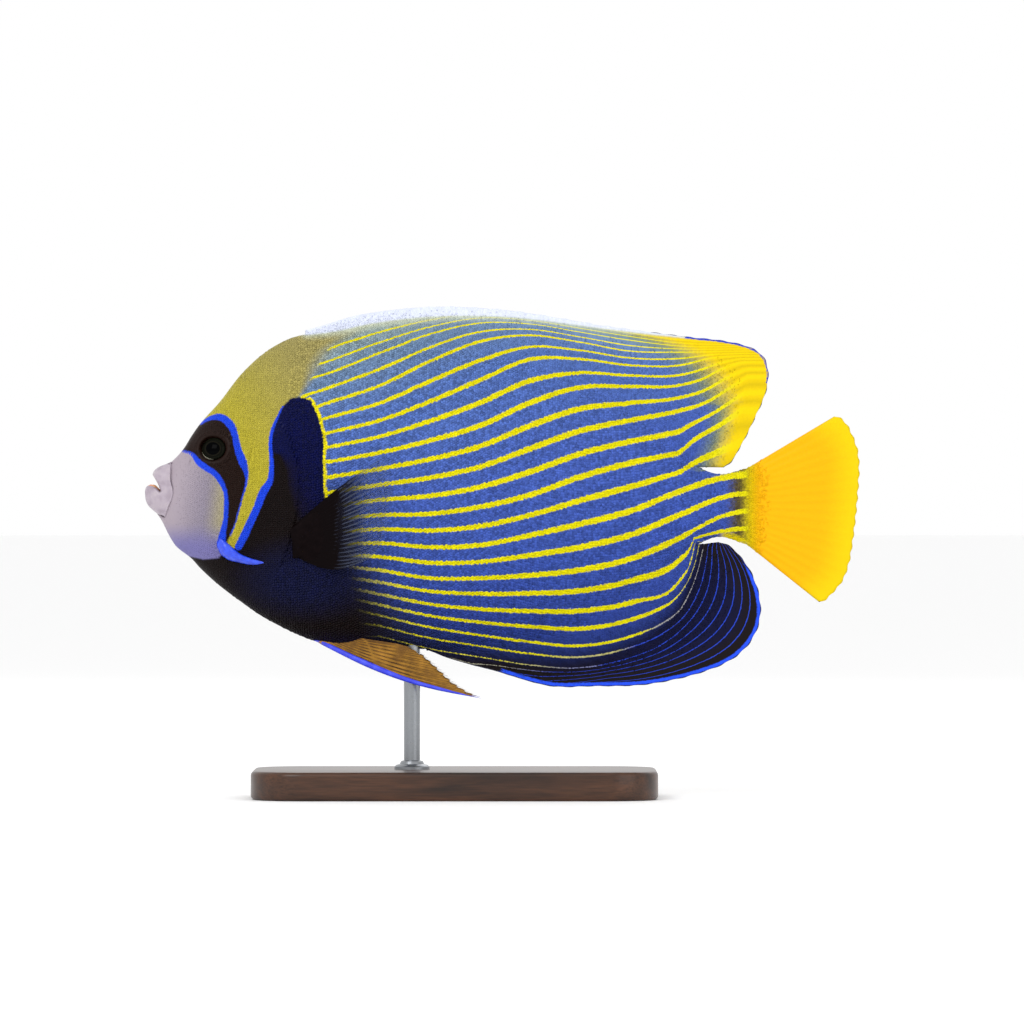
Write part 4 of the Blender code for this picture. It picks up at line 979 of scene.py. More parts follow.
def lay_scales(name, roots, pitch, keep, size, seed, height=1.0, contrast=0.75):
    """A left and a right coat: keep and size are asked with each root's x, z and share of fin length."""
    generator = np.random.default_rng(seed)
    found = roots_on_skin(roots + generator.uniform(-JITTER, JITTER, roots.shape) * pitch)
    face = found[:, 6].astype(int)
    lie, out = face_lie[face], face_out[face]
    chosen = keep(found[:, 0], found[:, 2], out, generator.random(len(found)))
    found, lie, out = found[chosen], lie[chosen], out[chosen]
    count = len(found)
    place, normal = found[:, :3], found[:, 3:6]
    lie = lie + generator.normal(0.0, LIE_SPREAD, count)
    relative = size(place[:, 0], place[:, 2], out)
    length = pitch * relative * generator.uniform(*LENGTHS, count)
    lift = height * relative ** 3 * generator.uniform(*LIFTS, count)
    points = plates(place, normal, lie, length, lift)
    tone = np.repeat(SKIN_TONE + contrast * generator.uniform(-0.5, 0.5, count), len(SCALE_CORNERS))
    faces = (SCALE_FACES[None] + len(SCALE_CORNERS) * np.arange(count)[:, None, None]).reshape(-1, 3)
    unwrapped = np.column_stack((
        UNWRAP_START[0] + (place[:, 0] + UNWRAP_START[1]) / UNWRAP_LENGTH,
        girth(place[:, 0], place[:, 2]) / UNWRAP_GIRTH))
    patch = PATCH * SCALE_CORNERS[SCALE_FACES, :2] / np.ptp(SCALE_CORNERS[:, 0])

    # Each scale leans half way towards the colour at its own root, so that edges stay crisp.
    patches = markings(*(mix(points[..., i], place[:, None, i], 0.45).ravel() for i in (0, 2)))
    for side, side_name in SIDES:
        order = slice(None, None, -side)
        uv = (unwrapped + (0.0, SIDE_MIDDLE[side_name]))[:, None] + patch[:, order].reshape(-1, 2)[None]
        own = points.reshape(-1, 3) * (1.0, -side, 1.0)
        data = coat_mesh(f"{name}_{side_name}", own, faces[:, order], uv)
        paint(data, patches, tone)
        add_piece(data.name, data, fish_skin)
    print(f"{name}: {count} scales a side, {len(faces)} triangles, "
          f"unwrap {unwrapped.min(axis=0).round(3)} to {unwrapped.max(axis=0).round(3)}")
    return count


# %% Head, flank and fins
def bare_face(x, z):
    """True where the face has no scales: the eye and its rim, and the nostrils."""
    nostril = np.minimum.reduce([np.hypot(x - px, z - pz) for px, pz in NOSTRILS])
    return (eye_reach(x, z) < 1.22) | (nostril < 1.5)


def on_head(x, z, out, chance):
    thin_out = chance < (x + 137.5) / 6.0
    return (x < HEAD_REAR(z) + 0.4) & thin_out & ~bare_face(x, z)


def on_flank(x, z, out, chance):
    return (x >= HEAD_REAR(z) - 0.4) & (x < TAIL_X + 0.5) & (z < BACK(x) + 0.3) & (z > BELLY(x) - 0.3)


def on_fins(x, z, out, chance):
    off_body = (z > BACK(x) - 0.3) | (z < BELLY(x) + 0.3) | (x > TAIL_X - 0.5)
    tail = in_tail(x, z)
    reach = np.where(tail, 0.08, np.where(x < 30.0, 0.62, 0.50))
    return off_body & (out < reach + np.where(tail, 0.12, 0.28) * chance)


def head_size(x, z, out):
    return mix(0.34, 1.08, smooth_step(-138.0, -110.0, x))


def flank_size(x, z, out):
    return mix(1.06, 0.86, smooth_step(60.0, 100.0, x))


def fin_size(x, z, out):
    return mix(1.05, 0.62, out)


scales = lay_scales("coat_head", body_roots(-139.0, -84.0, HEAD_PITCH), HEAD_PITCH, on_head, head_size, 11,
                    height=0.5, contrast=0.3)
scales += lay_scales("coat_shoulder", body_roots(-100.0, FLANK_SPLIT_X, FLANK_PITCH), FLANK_PITCH, on_flank,
                     flank_size, 12)
scales += lay_scales("coat_flank", body_roots(FLANK_SPLIT_X, 103.0, FLANK_PITCH), FLANK_PITCH, on_flank,
                     flank_size, 13)
scales += lay_scales("coat_fins", flat_roots((-84.0, 44.0), (152.0, 208.0), FIN_PITCH), FIN_PITCH, on_fins,
                     fin_size, 14, height=0.8, contrast=0.5)
print("scales in all:", 2 * scales)

# %% [markdown]
# ## Lips
# An angelfish picks food with thick, rolled lips that bend round the corner of the mouth. One
# grid follows that bend: its rows run from the slit of the mouth out to the groove where the
# lips meet the face, and its last rows tuck under the skin there, which makes the real crease.

# %% The lips
SLIT = smooth_path([
    (-146.7, 135.2), (-145.6, 133.4), (-144.5, 131.3), (-143.7, 128.7), (-144.9, 129.9), (-146.6, 131.1),
    (-148.3, 131.3), (-149.6, 130.5), (-150.1, 129.2)])
LIP_OUTLINE = [
    (-146.9, 135.8), (-146.4, 137.2), (-145.1, 138.4), (-142.3, 139.8), (-139.9, 140.3), (-139.6, 137.6),
    (-139.5, 133.0), (-138.6, 129.7), (-138.4, 128.0), (-139.0, 125.5), (-140.3, 122.9), (-141.9, 119.2),
    (-143.2, 118.2), (-145.1, 119.4), (-147.3, 121.2), (-148.9, 122.9), (-149.8, 125.0), (-150.1, 127.6)]
LIP_EDGE = smooth_path(LIP_OUTLINE)
LIP_TOP, LIP_CHIN = sampled(LIP_OUTLINE[:5]), sampled(LIP_OUTLINE[12:])
SLIT_LINE = points_along(SLIT, 40)
LIP_COLUMNS, LIP_ROWS = 84, 26
LIP_WIDTH = smooth_line([(-150.1, 2.4), (-149.0, 3.9), (-147.0, 5.3), (-144.0, 6.4), (-138.0, 7.2)])


def rounded(distance, radius, power):
    """0 at an edge, 1 a radius inside it, and a round shoulder between."""
    share = np.clip(distance / radius, 0.0, 1.0)
    return (1.0 - (1.0 - share) ** power) ** (1.0 / power)


def lip_place(column, row):
    """x, z and half width of the lips: columns follow the slit, and rows run out from it."""
    u, v = column / LIP_COLUMNS, row / LIP_ROWS
    x0, z0 = SLIT(u)
    x1, z1 = LIP_EDGE(u)
    tuck = smooth_step(0.17, 0.24, u) * (1.0 - smooth_step(0.66, 0.72, u))
    way = v * (1.0 + 0.28 * tuck)
    x, z = mix(x0, x1, way), mix(z0, z1, way)
    profile = np.minimum(line_distance(x, z, LIP_TOP), line_distance(x, z, LIP_CHIN))
    slit = line_distance(x, z, SLIT_LINE)
    half = LIP_WIDTH(x) * rounded(profile, 6.5, 2.2) * rounded(slit, 1.5, 3.2)
    half += 0.55 * np.sin(math.pi * np.minimum(way, 1.0)) * rounded(profile, 3.0, 2.0)
    half -= tuck * 4.0 * smooth_step(1.03, 1.24, way)
    edge = (row == 0) | (row == LIP_ROWS) | (column == 0) | (column == LIP_COLUMNS)
    return x, z, np.where(edge, 0.0, np.maximum(half, 0.05))


lips = bmesh.new()
add_patch(lips, LIP_COLUMNS, LIP_ROWS, lip_place)
bmesh.ops.remove_doubles(lips, verts=lips.verts[:], dist=WELD)
add_far_side(lips)

# %% [markdown]
# Soft wet skin shines more than scales, and blood shows through it: pale grey-lilac with pink
# in the folds. The inside of the mouth is orange.

# %% Lip and mouth materials
def flesh_look(name, codes, scale, roughness, depth, **values):
    """Soft skin in two or more shades that change in clouds of a size of 1 / scale metres."""
    look, tree, shader = new_look(name, **values)
    place = add_node(tree, "TexCoord", out="Object")
    clouds = add_node(tree, "TexNoise", {"Vector": place, "Scale": scale, "Detail": 4.0})
    shades = add_node(tree, "ValToRGB", {0: clouds})
    set_stops(shades.node.color_ramp, list(zip(np.linspace(0.32, 0.68, len(codes)), codes)))
    fine = add_node(tree, "TexNoise", {"Vector": place, "Scale": 1400.0, "Detail": 3.0})
    rough = add_node(tree, "MapRange", {0: fine, 3: roughness - 0.1, 4: roughness + 0.1})
    bump = add_node(tree, "Bump", {"Height": fine, "Strength": 0.2, "Distance": depth})
    fill(tree, shader, {"Base Color": shades, "Roughness": rough, "Normal": bump})
    return look


lip_skin = flesh_look("pale_lip_skin", ["998C98", "A89CA8", "B2A7AF"], 260.0, 0.42, 0.0002,
                      Coat_Weight=0.1, Coat_Roughness=0.2, Specular_IOR_Level=0.3)
mouth_flesh = flesh_look("orange_mouth_lining", ["C06A34", "D98848", "DDB068"], 400.0, 0.35, 0.0001,
                         Coat_Weight=0.4, Coat_Roughness=0.15)
finish_piece("lips", lips, lip_skin, "painted_lips", replaces=("upper_jaw", "lower_jaw"))

# %% Bars that follow a line, for the mouth lining and the rays of the fins
def add_bar(mesh, points, radius, sides=6, flat=1.0, reference=(0.0, 1.0, 0.0)):
    """A tapering bar along points: a grid rolled round them, closed when doubles are merged."""
    made, (u, v) = add_grid(mesh, len(points) - 1, sides)
    column = np.rint(u * (len(points) - 1)).astype(int)
    angle = 2.0 * math.pi * (np.rint(v * sides) % sides) / sides
    tangent = np.gradient(points, axis=0)
    tangent /= np.linalg.norm(tangent, axis=1, keepdims=True)
    across = np.cross(tangent, reference)
    across /= np.linalg.norm(across, axis=1, keepdims=True)
    up = np.cross(across, tangent)
    turn = np.cos(angle)[:, None] * across[column] + flat * np.sin(angle)[:, None] * up[column]
    for vert, co in zip(made, points[column] + radius[column][:, None] * turn):
        vert.co = co


LINING_STEPS = 20
lining = bmesh.new()
lining_line = points_along(smooth_path([
    (-149.4, 129.7), (-148.0, 130.7), (-146.4, 130.6), (-144.9, 129.3), (-142.6, 127.6)]), LINING_STEPS)
lining_radius = 0.95 * np.sin(np.linspace(0, math.pi, LINING_STEPS)) ** 0.4
add_bar(lining, np.insert(lining_line, 1, 0.0, axis=1), lining_radius, sides=16, flat=3.6)
finish_piece("mouth_lining", lining, mouth_flesh, "painted_lips")
print("lips:", LIP_COLUMNS, "columns and", LIP_ROWS, "rows on each side")

# %% [markdown]
# ## Eyes
# A glass eye is a painted iris under clear glass. Here the paint is on the ball itself, in rings
# worked out from the distance to its axis, and a clear coat gives the wet glass over it.

# %% Place and shape of the eyes
def surface_frame(x, z, side, sunk):
    """A matrix at a point of the flank, sunk into it, with its Z axis along the surface's normal."""
    step = 0.5
    spots = np.array([(x + step, z), (x - step, z), (x, z + step), (x, z - step), (x, z)])
    right, left, up, down, here = body_half(spots[:, 0], spots[:, 1])
    normal = Vector(((left - right) / (2 * step), side, (down - up) / (2 * step))).normalized()
    along = (Vector((1, 0, 0)) - normal * normal.x).normalized()
    place = Vector((x, side * here, z)) - normal * sunk
    axes = Matrix((along, normal.cross(along), normal)).transposed().to_4x4()
    return Matrix.Translation(place) @ axes


def eye_look():
    """Black pupil, dark olive iris with fine spokes, and a pale half-ring low in front: a painted reflection.
    """
    look, tree, shader = new_look(
        "glass_eye", Roughness=0.5, Coat_Weight=0.05, Coat_Roughness=0.03, Specular_IOR_Level=0.0)
    place = add_node(tree, "TexCoord", out="Object")
    centred = add_node(tree, "Mapping", {
        "Vector": place, "Location": (-EYE_X / EYE_RADII[0], 0.0, -EYE_Z / EYE_RADII[1]),
        "Scale": (1 / MM / EYE_RADII[0], 0.0, 1 / MM / EYE_RADII[1])}, vector_type="POINT")
    reach = add_node(tree, "VectorMath", {0: centred}, out="Value", operation="LENGTH")
    rings = add_node(tree, "ValToRGB", {0: reach})
    set_stops(rings.node.color_ramp, [
        (0.0, "010102"), (0.50, "010102"), (0.53, "191710"), (0.64, "090906"), (0.80, "15160F"),
        (0.90, "070605"), (1.0, "020202")])
    spokes = add_node(tree, "TexNoise", {"Vector": place, "Scale": 1500.0, "Detail": 2.0})
    value = add_node(tree, "MapRange", {0: spokes, 3: 0.6, 4: 1.5})
    iris = add_node(tree, "HueSaturation", {"Color": rings, "Value": value})
    # Painted reflection: a pale half-ring at the rim, low in front, stands in for light on the wet glass.
    low_front = add_node(tree, "VectorMath", {0: centred, 1: (-0.88, 0.0, -0.48)}, out="Value",
                         operation="DOT_PRODUCT")
    side = add_node(tree, "MapRange", {0: low_front, 1: 0.35, 2: 0.85})
    band = add_node(tree, "Math", {0: reach, 1: 0.88, 2: 0.04}, operation="COMPARE")
    painted_reflection_crescent = add_node(tree, "Math", {0: side, 1: band}, operation="MULTIPLY")
    colour = add_node(tree, "Mix", {0: painted_reflection_crescent, 6: iris, 7: linear("B4B3A0")}, out=2, data_type="RGBA")
    fill(tree, shader, {"Base Color": colour})
    return look


eye_glass = eye_look()
for side, side_name in SIDES:
    ball = bmesh.new()
    middle = surface_frame(EYE_X, EYE_Z, side, EYE_RADII[2] - EYE_STANDS_OUT)
    shape = middle @ Matrix.Diagonal((*EYE_RADII, 1.0))
    bmesh.ops.create_uvsphere(ball, u_segments=48, v_segments=32, radius=1.0, matrix=shape)
    finish_piece("eyeball_" + side_name, ball, eye_glass, "glass_eye", ("eye_" + side_name,), sharp=180.0)
    print("eyeball", side_name, "at", [round(v, 1) for v in shape.translation])

# %% [markdown]
# ## The cheek spine
# The strong spine at the corner of the cheek marks every angelfish. It is a flat blade between
# two edges, thickest along its middle, and its root goes down into the skin.

# %% Blades and membranes: closed slabs between a near and a far face
def add_slab(mesh, columns, rows, place):
    """A closed slab: place(u, v) gives x, z and the distances of its two faces from the middle plane."""
    made, (u, v) = add_grid(mesh, columns, rows)
    faces = list({face for vert in made for face in vert.link_faces})
    extruded = bmesh.ops.extrude_face_region(mesh, geom=faces)["geom"]
    far = [item for item in extruded if isinstance(item, bmesh.types.BMVert)]
    x, z, near_y, far_y = place(u, v)
    by_share = {shares: i for i, shares in enumerate(zip(u.round(4), v.round(4)))}
    far_index = [by_share[round(vert.co.x + 0.5, 4), round(vert.co.y + 0.5, 4)] for vert in far]
    for vert, *co in zip(made, x, near_y, z):
        vert.co = co
    for vert, i in zip(far, far_index):
        vert.co = (x[i], far_y[i], z[i])


BLADE_LOW = smooth_path([
    (-119.4, 106.2), (-118.3, 102.8), (-115.6, 100.4), (-110.2, 98.8), (-104.0, 97.9), (-99.3, 98.6)])
BLADE_TOP = smooth_path([
    (-118.4, 109.0), (-115.9, 107.6), (-113.4, 105.5), (-109.9, 102.6), (-105.2, 100.6), (-99.2, 99.0)])


def blade_place(u, v):
    """x, z and the two faces of the blade, thickest along its middle and flat at its tip."""
    x0, z0 = BLADE_LOW(u)
    x1, z1 = BLADE_TOP(u)
    x, z = mix(x0, x1, v), mix(z0, z1, v)
    half = body_half(x, z)
    height = 2.3 * (1.0 - u ** 1.6) * np.sin(math.pi * v) ** 0.7 * smooth_step(0.0, 0.2, u)
    return x, z, -(half - 0.6 + 0.9 * u), -(half + 0.25 + 0.3 * u + height)


blue_blade = flesh_look("blue_spine_enamel", ["1638C8", "1C43DC", "2850E6"], 500.0, 0.38, 0.0002,
                        Coat_Weight=0.3, Coat_Roughness=0.15)
for side, side_name in SIDES:
    blade = bmesh.new()
    add_slab(blade, 26, 10, blade_place)
    finish_piece("cheek_blade_" + side_name, blade, blue_blade, "blue_spine", ("cheek_spine_" + side_name,),
                 side, sharp=60.0)

# %% [markdown]
# ## Pectoral and pelvic fins
# A fin is a thin web stretched over bony rays, and each ray forks towards its end. The web is a
# closed slab a few tenths of a millimetre thick, and each ray a tapering bar along it. The
# pectoral web is clear and smoky, so that the stripes show through it.

# %% The shape of a pectoral fin
PECTORAL_ROOT = smooth_path([(-84.6, 100.4), (-84.0, 108.0), (-85.2, 116.0)])
PECTORAL_TIPS = smooth_path([
    (-56.1, 100.3), (-51.0, 104.9), (-48.9, 112.0), (-46.8, 118.7), (-47.2, 124.2), (-45.4, 130.1),
    (-47.6, 137.2), (-50.6, 142.4)])
PECTORAL_RAYS, PECTORAL_FLARE = 21, 12.5


def pectoral_line(u, v):
    """x, z and distance from the middle plane of the fin's own sheet."""
    x0, z0 = PECTORAL_ROOT(v)
    x1, z1 = PECTORAL_TIPS(v)
    bow = np.sin(math.pi * np.clip(u, 0.0, 1.0)) * (1.2 * v ** 2 - 4.4 * (1.0 - v) ** 2)
    x, z = mix(x0, x1, u), mix(z0, z1, u) + bow
    free = np.maximum(0.0, u - 0.12) / 0.88
    return x, z, body_half(x, z) + 0.7 + PECTORAL_FLARE * free ** 1.4


def pectoral_web(u, v):
    """The thin web between the rays, notched between their tips."""
    ragged = np.where(u > 0.999, 0.035 * (1.0 - ray_wave(v * PECTORAL_RAYS)), 0.0)
    x, z, y = pectoral_line(0.98 * u - ragged, v)
    half = 0.10 + 0.08 * (1.0 - u)
    return x, z, -(y - half), -(y + half)


def pectoral_muscle(u, v):
    """The fleshy root that the rays come out of."""
    x, z, y = pectoral_line(mix(-0.10, 0.30, u) - 0.06 * np.abs(2.0 * v - 1.0) ** 2 * u, mix(0.02, 0.98, v))
    round_edge = np.clip(1.0 - np.abs(2.0 * v - 1.0) ** 3, 0.0, 1.0) ** 0.5
    thick = 2.0 * round_edge * (1.0 - u) ** 1.3 * smooth_step(-0.25, 0.3, u)
    return x, z, -(y - 1.4 * (1.0 - u)), -(y + 0.03 + thick)


# %% Rays that fork
TRUNK_STEPS, ARM_STEPS = 10, 12


def add_rays(mesh, line, count, thick, start=0.0, fork=0.45, end=1.0, spread=0.3, sides=6, flat=0.8):
    """Forked rays along line(u, v), spaced evenly in v."""
    trunk = np.linspace(start, fork, TRUNK_STEPS)
    arms = np.linspace(fork - 0.03, end, ARM_STEPS)
    shift = spread / count * ((arms - fork).clip(0.0) / (end - fork)) ** 0.8
    branches = ((trunk, 0.0 * trunk, 1.0, 0.72), (arms, -shift, 0.62, 0.28), (arms, shift, 0.62, 0.28))
    for v in (np.arange(count) + 0.5) / count:
        for u, aside, first, last in branches:
            x, z, y = line(u, np.clip(v + aside, 0.0, 1.0))
            radius = thick * np.linspace(first, last, len(u))
            radius[[0, -1]] = 0.0
            add_bar(mesh, np.column_stack((x, -y, z)), radius, sides=sides, flat=flat)


# %% Materials of the paired fins
def web_look(name, root_code, tip_code, tip_alpha, span):
    """A thin clear web, darker and denser towards its root; span is the x of root and tip in mm."""
    look, tree, shader = new_look(name, Roughness=0.4, Specular_IOR_Level=0.04)
    place = add_node(tree, "TexCoord", out="Object")
    x = add_node(tree, "SeparateXYZ", {0: place}, out="X")
    out = add_node(tree, "MapRange", {0: x, 1: span[0] * MM, 2: span[1] * MM})
    uneven = add_node(tree, "TexNoise", {"Vector": place, "Scale": 350.0, "Detail": 3.0})
    share = add_node(tree, "Math", {0: uneven, 1: 0.3, 2: out}, operation="MULTIPLY_ADD")
    tipward = add_node(tree, "MapRange", {0: share, 1: 0.2, 2: 1.0})
    colour = add_node(tree, "Mix", {0: tipward, 6: linear(root_code), 7: linear(tip_code)}, out=2,
                      data_type="RGBA")
    alpha = add_node(tree, "MapRange", {0: tipward, 3: 1.0, 4: tip_alpha})
    fill(tree, shader, {"Base Color": colour, "Alpha": alpha})
    return look


# %% The pectoral fins
pectoral_skin = web_look("smoky_fin_web", "080304", "2A2E40", 0.10, (-70.0, -54.0))
ray_bone = web_look("pale_tipped_fin_ray", "0A0405", "6A7490", 0.60, (-71.0, -55.0))
muscle_skin = flesh_look("dark_pectoral_skin", ["070203", "0A0405", "0E0607"], 300.0, 0.6, 0.0003,
                         Specular_IOR_Level=0.04)
RAY_MERGE = 0.0005
for side, side_name in SIDES:
    web, rays, muscle = bmesh.new(), bmesh.new(), bmesh.new()
    add_slab(web, 36, PECTORAL_RAYS * 5, pectoral_web)
    finish_piece("pectoral_web_" + side_name, web, pectoral_skin, "dark_pectoral",
                 ("pectoral_fin_" + side_name,), side)
    add_rays(rays, pectoral_line, PECTORAL_RAYS, 0.27, start=0.05, end=1.03, flat=1.1)
    finish_piece("pectoral_rays_" + side_name, rays, ray_bone, "dark_pectoral", side=side, merge=RAY_MERGE)
    add_slab(muscle, 16, 24, pectoral_muscle)
    finish_piece("pectoral_muscle_" + side_name, muscle, muscle_skin, "dark_pectoral", side=side)
print("pectoral fins:", PECTORAL_RAYS, "rays each")

# %% The pelvic fins
PELVIC_MARGIN = smooth_path([
    (-9.8, 42.2), (-14.5, 44.6), (-19.3, 47.6), (-24.5, 52.3), (-29.4, 56.8), (-34.0, 60.6), (-38.5, 63.2),
    (-44.5, 64.9)])
PELVIC_RAYS = 11


def pelvic_line(u, v):
    """x, z and distance from the middle plane; v runs from the leading edge to the body."""
    x1, z1 = PELVIC_MARGIN(v)
    x, z = mix(mix(-77.4, -68.0, v), x1, u), mix(mix(65.5, 68.4, v), z1, u)
    z = z - 3.6 * np.sin(math.pi * np.clip(u, 0.0, 1.0)) * (1.0 - v) ** 1.6
    return x, z, mix(1.9, 4.6, smooth_step(0.0, 0.4, u)) + 8.0 * np.clip((x + 77.4) / 67.6, 0.0, 1.0) ** 1.3


def pelvic_web(u, v):
    """The web, thicker where it grows out of the belly."""
    ragged = np.where(u > 0.999, 0.055 * (1.0 - ray_wave(v * PELVIC_RAYS)), 0.0)
    x, z, y = pelvic_line(0.985 * u - ragged, v)
    half = 0.12 + 0.5 * np.clip(1.0 - u / 0.4, 0.0, 1.0) ** 1.5
    return x, z, -(y - half), -(y + half)


pelvic_skin = flesh_look("ochre_fin_web", ["6E4A18", "94691F", "AE7C2C"], 160.0, 0.5, 0.0003,
                         Specular_IOR_Level=0.2)
pelvic_bone = flesh_look("brown_fin_ray", ["3E2816", "66451C", "8A6228"], 200.0, 0.5, 0.0002,
                         Specular_IOR_Level=0.2)
edge_skin = flesh_look("blue_leading_edge", ["2A36D0", "333FE2", "4454EC"], 300.0, 0.4, 0.0002)
edge_u = np.linspace(-0.03, 1.02, 36)
edge_radius = np.interp(edge_u, [-0.03, 0.03, 0.30, 0.75, 1.02], [0.0, 1.0, 1.35, 0.8, 0.0])
edge_x, edge_z, edge_y = pelvic_line(edge_u, np.zeros(len(edge_u)))
edge_line = np.column_stack((edge_x, -edge_y, edge_z + 0.7 * edge_radius))
for side, side_name in SIDES:
    web, rays, edge = bmesh.new(), bmesh.new(), bmesh.new()
    add_slab(web, 40, PELVIC_RAYS * 6, pelvic_web)
    finish_piece("pelvic_web_" + side_name, web, pelvic_skin, "ochre_pelvic",
                 ("pelvic_fin_" + side_name,), side)
    add_rays(rays, pelvic_line, PELVIC_RAYS, 0.32, start=0.0, fork=0.4, end=1.02, spread=0.26, flat=2.2)
    finish_piece("pelvic_rays_" + side_name, rays, pelvic_bone, "ochre_pelvic", side=side, merge=RAY_MERGE)
    add_bar(edge, edge_line, edge_radius, sides=10, flat=0.7)
    finish_piece("pelvic_edge_" + side_name, edge, edge_skin, "ochre_pelvic", side=side, merge=RAY_MERGE)
print("pelvic fins:", PELVIC_RAYS, "rays each")

# %% [markdown]
# ## The stand
# A plain museum stand: a rounded base of dark lacquered wood and a steel rod, with a small
# turned collar where the rod enters the wood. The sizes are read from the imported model.

# %% Wood and steel
def wood_look():
    """Dark walnut under satin lacquer: long fibres along the base, and pores as short dark lines."""
    look, tree, shader = new_look("lacquered_walnut", Roughness=0.35, Coat_Weight=0.2, Coat_Roughness=0.12,
                                  Specular_IOR_Level=0.3)
    place = add_node(tree, "TexCoord", out="Object")
    stretched = add_node(tree, "Mapping", {"Vector": place, "Scale": (1.0, 9.0, 9.0)})
    rings = add_node(tree, "TexNoise", {"Vector": stretched, "Scale": 14.0, "Detail": 6.0, "Distortion": 0.6})
    long_pores = add_node(tree, "Mapping", {"Vector": place, "Scale": (0.06, 1.0, 1.0)})
    pores = add_node(tree, "TexNoise", {"Vector": long_pores, "Scale": 1500.0, "Detail": 2.0})
    browns = add_node(tree, "ValToRGB", {0: rings})
    set_stops(browns.node.color_ramp, [(0.3, "25140B"), (0.72, "553420")])
    dark = add_node(tree, "MapRange", {0: pores, 1: 0.3, 2: 0.6, 3: 0.6, 4: 1.05})
    colour = add_node(tree, "HueSaturation", {"Color": browns, "Value": dark})
    bump = add_node(tree, "Bump", {"Height": pores, "Strength": 0.12, "Distance": 0.0002})
    fill(tree, shader, {"Base Color": colour, "Normal": bump})
    return look


def steel_look():
    """Brushed stainless steel: fine marks round the rod that spread its highlights."""
    look, tree, shader = new_look("brushed_steel", Metallic=1.0, Roughness=0.3, Base_Color=linear("8F9296"))
    place = add_node(tree, "TexCoord", out="Object")
    brushed = add_node(tree, "Mapping", {"Vector": place, "Scale": (0.2, 0.2, 6.0)})
    marks = add_node(tree, "TexNoise", {"Vector": brushed, "Scale": 900.0, "Detail": 2.0})
    rough = add_node(tree, "MapRange", {0: marks, 3: 0.2, 4: 0.42})
    bump = add_node(tree, "Bump", {"Height": marks, "Strength": 0.1, "Distance": 0.0001})
    fill(tree, shader, {"Roughness": rough, "Normal": bump})
    return look


# %% Base, rod and collar
base_low, base_high = (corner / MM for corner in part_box("stand_base"))
rod_low, rod_high = (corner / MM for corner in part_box("stand_rod"))
BASE_CORNER, BASE_EDGE, ROUND_STEPS = 22.0, 1.8, 48
walnut, steel = wood_look(), steel_look()


def rise(edge):
    """How far an edge climbs, in mm."""
    return abs(edge.verts[0].co.z - edge.verts[1].co.z)


base = bmesh.new()
bmesh.ops.create_cube(base, size=1.0, matrix=Matrix.Translation((base_low + base_high) / 2)
                      @ Matrix.Diagonal((*(base_high - base_low), 1.0)))
upright = [edge for edge in base.edges if rise(edge) > 1.0]
bmesh.ops.bevel(base, geom=upright, offset=BASE_CORNER, segments=14, profile=0.5, affect="EDGES", material=-1)
rims = [edge for edge in base.edges if rise(edge) < 0.1 and edge.calc_face_angle(0.0) > 1.0]
bmesh.ops.bevel(base, geom=rims, offset=BASE_EDGE, segments=4, profile=0.5, affect="EDGES", material=-1)
finish_piece("walnut_base", base, walnut, "dark_wood_base", replaces=("stand_base",))

rod = bmesh.new()
rod_middle, rod_radius = (rod_low + rod_high) / 2, (rod_high.x - rod_low.x) / 2
bmesh.ops.create_cone(rod, cap_ends=True, segments=ROUND_STEPS, radius1=rod_radius, radius2=rod_radius,
                      depth=rod_high.z - rod_low.z, matrix=Matrix.Translation(rod_middle))
finish_piece("steel_bar", rod, steel, "steel_rod", replaces=("stand_rod",))

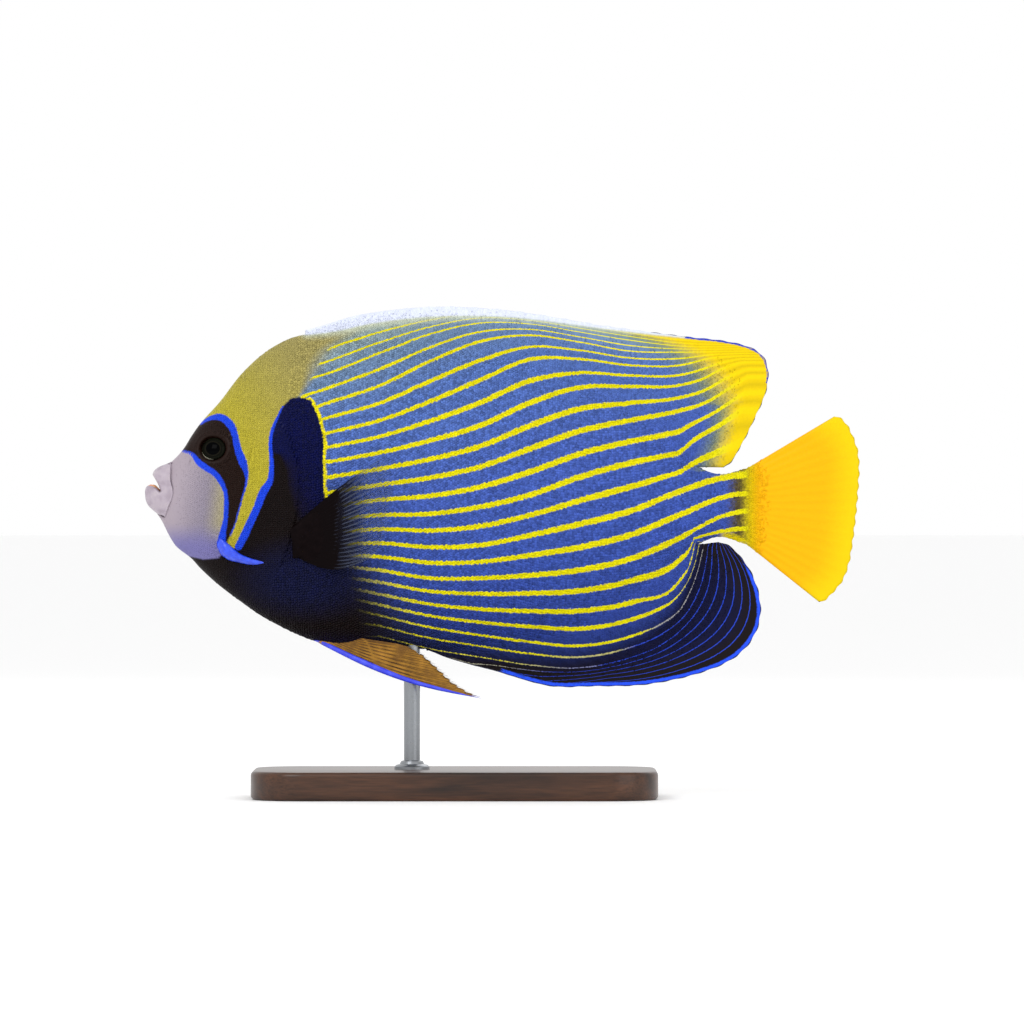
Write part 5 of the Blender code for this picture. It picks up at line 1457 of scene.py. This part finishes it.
collar = bmesh.new()
bore = rod_radius + 0.05
profile = [(bore, -0.3), (7.4, -0.3), (7.4, 1.1), (6.6, 1.9), (5.2, 2.2), (4.6, 3.4), (bore, 3.8)]
ring = [collar.verts.new((rod_middle.x + radius, 0.0, base_high.z + height)) for radius, height in profile]
outline = [collar.edges.new(ends) for ends in zip(ring, ring[1:] + ring[:1])]
bmesh.ops.spin(collar, geom=ring + outline, cent=(rod_middle.x, 0.0, 0.0), axis=(0.0, 0.0, 1.0),
               angle=2.0 * math.pi, steps=ROUND_STEPS, use_merge=True)
finish_piece("steel_collar", collar, steel, "steel_rod", sharp=35.0)
print("stand: base", [round(v) for v in base_high - base_low], "rod radius", round(rod_radius, 1))

# %% [markdown]
# ## The stage
# A large pale floor, a soft pale sky and three big lamps, as in a product studio. The camera
# looks level across the fish from its left side, from far enough to keep the outline true.

# %% Camera, floor and light
VIEW_WIDTH, VIEW_X, VIEW_Z = 430.0, 4.0, 120.0
LENS, SENSOR = 300.0, 36.0
camera_data = bpy.data.cameras.new("camera")
camera_data.lens, camera_data.sensor_width = LENS, SENSOR
camera = bpy.data.objects.new("camera", camera_data)
camera.location = (VIEW_X * MM, -VIEW_WIDTH * MM * LENS / SENSOR, VIEW_Z * MM)
camera.rotation_euler = (math.radians(90.0), 0.0, 0.0)
bpy.context.scene.collection.objects.link(camera)
bpy.context.scene.camera = camera

floor_mesh = bmesh.new()
bmesh.ops.create_circle(floor_mesh, cap_ends=True, segments=96, radius=40.0)
floor_data = bpy.data.meshes.new("floor")
floor_mesh.to_mesh(floor_data)
floor_mesh.free()
floor_data.materials.append(new_look("matt_white_floor", Roughness=0.9, Base_Color=linear("FAFAFA"))[0])
floor = bpy.data.objects.new("floor", floor_data)
bpy.context.scene.collection.objects.link(floor)

world = bpy.data.worlds.new("pale_sky")
world.use_nodes = True
world.node_tree.nodes["Background"].inputs["Color"].default_value = linear("FFFFFF")
world.node_tree.nodes["Background"].inputs["Strength"].default_value = 1.0
bpy.context.scene.world = world
bpy.context.scene.view_settings.view_transform = "Standard"
LAMPS = [
    ("key_lamp", (-0.9, -1.6, 1.3), 1.1, 14.0),
    ("fill_lamp", (1.3, -1.2, 0.6), 1.2, 4.0),
    ("back_lamp", (0.3, 1.6, 1.4), 1.2, 6.0),
]
for name, location, size, power in LAMPS:
    lamp_data = bpy.data.lights.new(name, "AREA")
    lamp_data.size, lamp_data.energy = size, power
    lamp = bpy.data.objects.new(name, lamp_data)
    lamp.location = location
    aim = Vector((0.0, 0.0, 0.12)) - lamp.location
    lamp.rotation_euler = aim.to_track_quat("-Z", "Y").to_euler()
    bpy.context.scene.collection.objects.link(lamp)
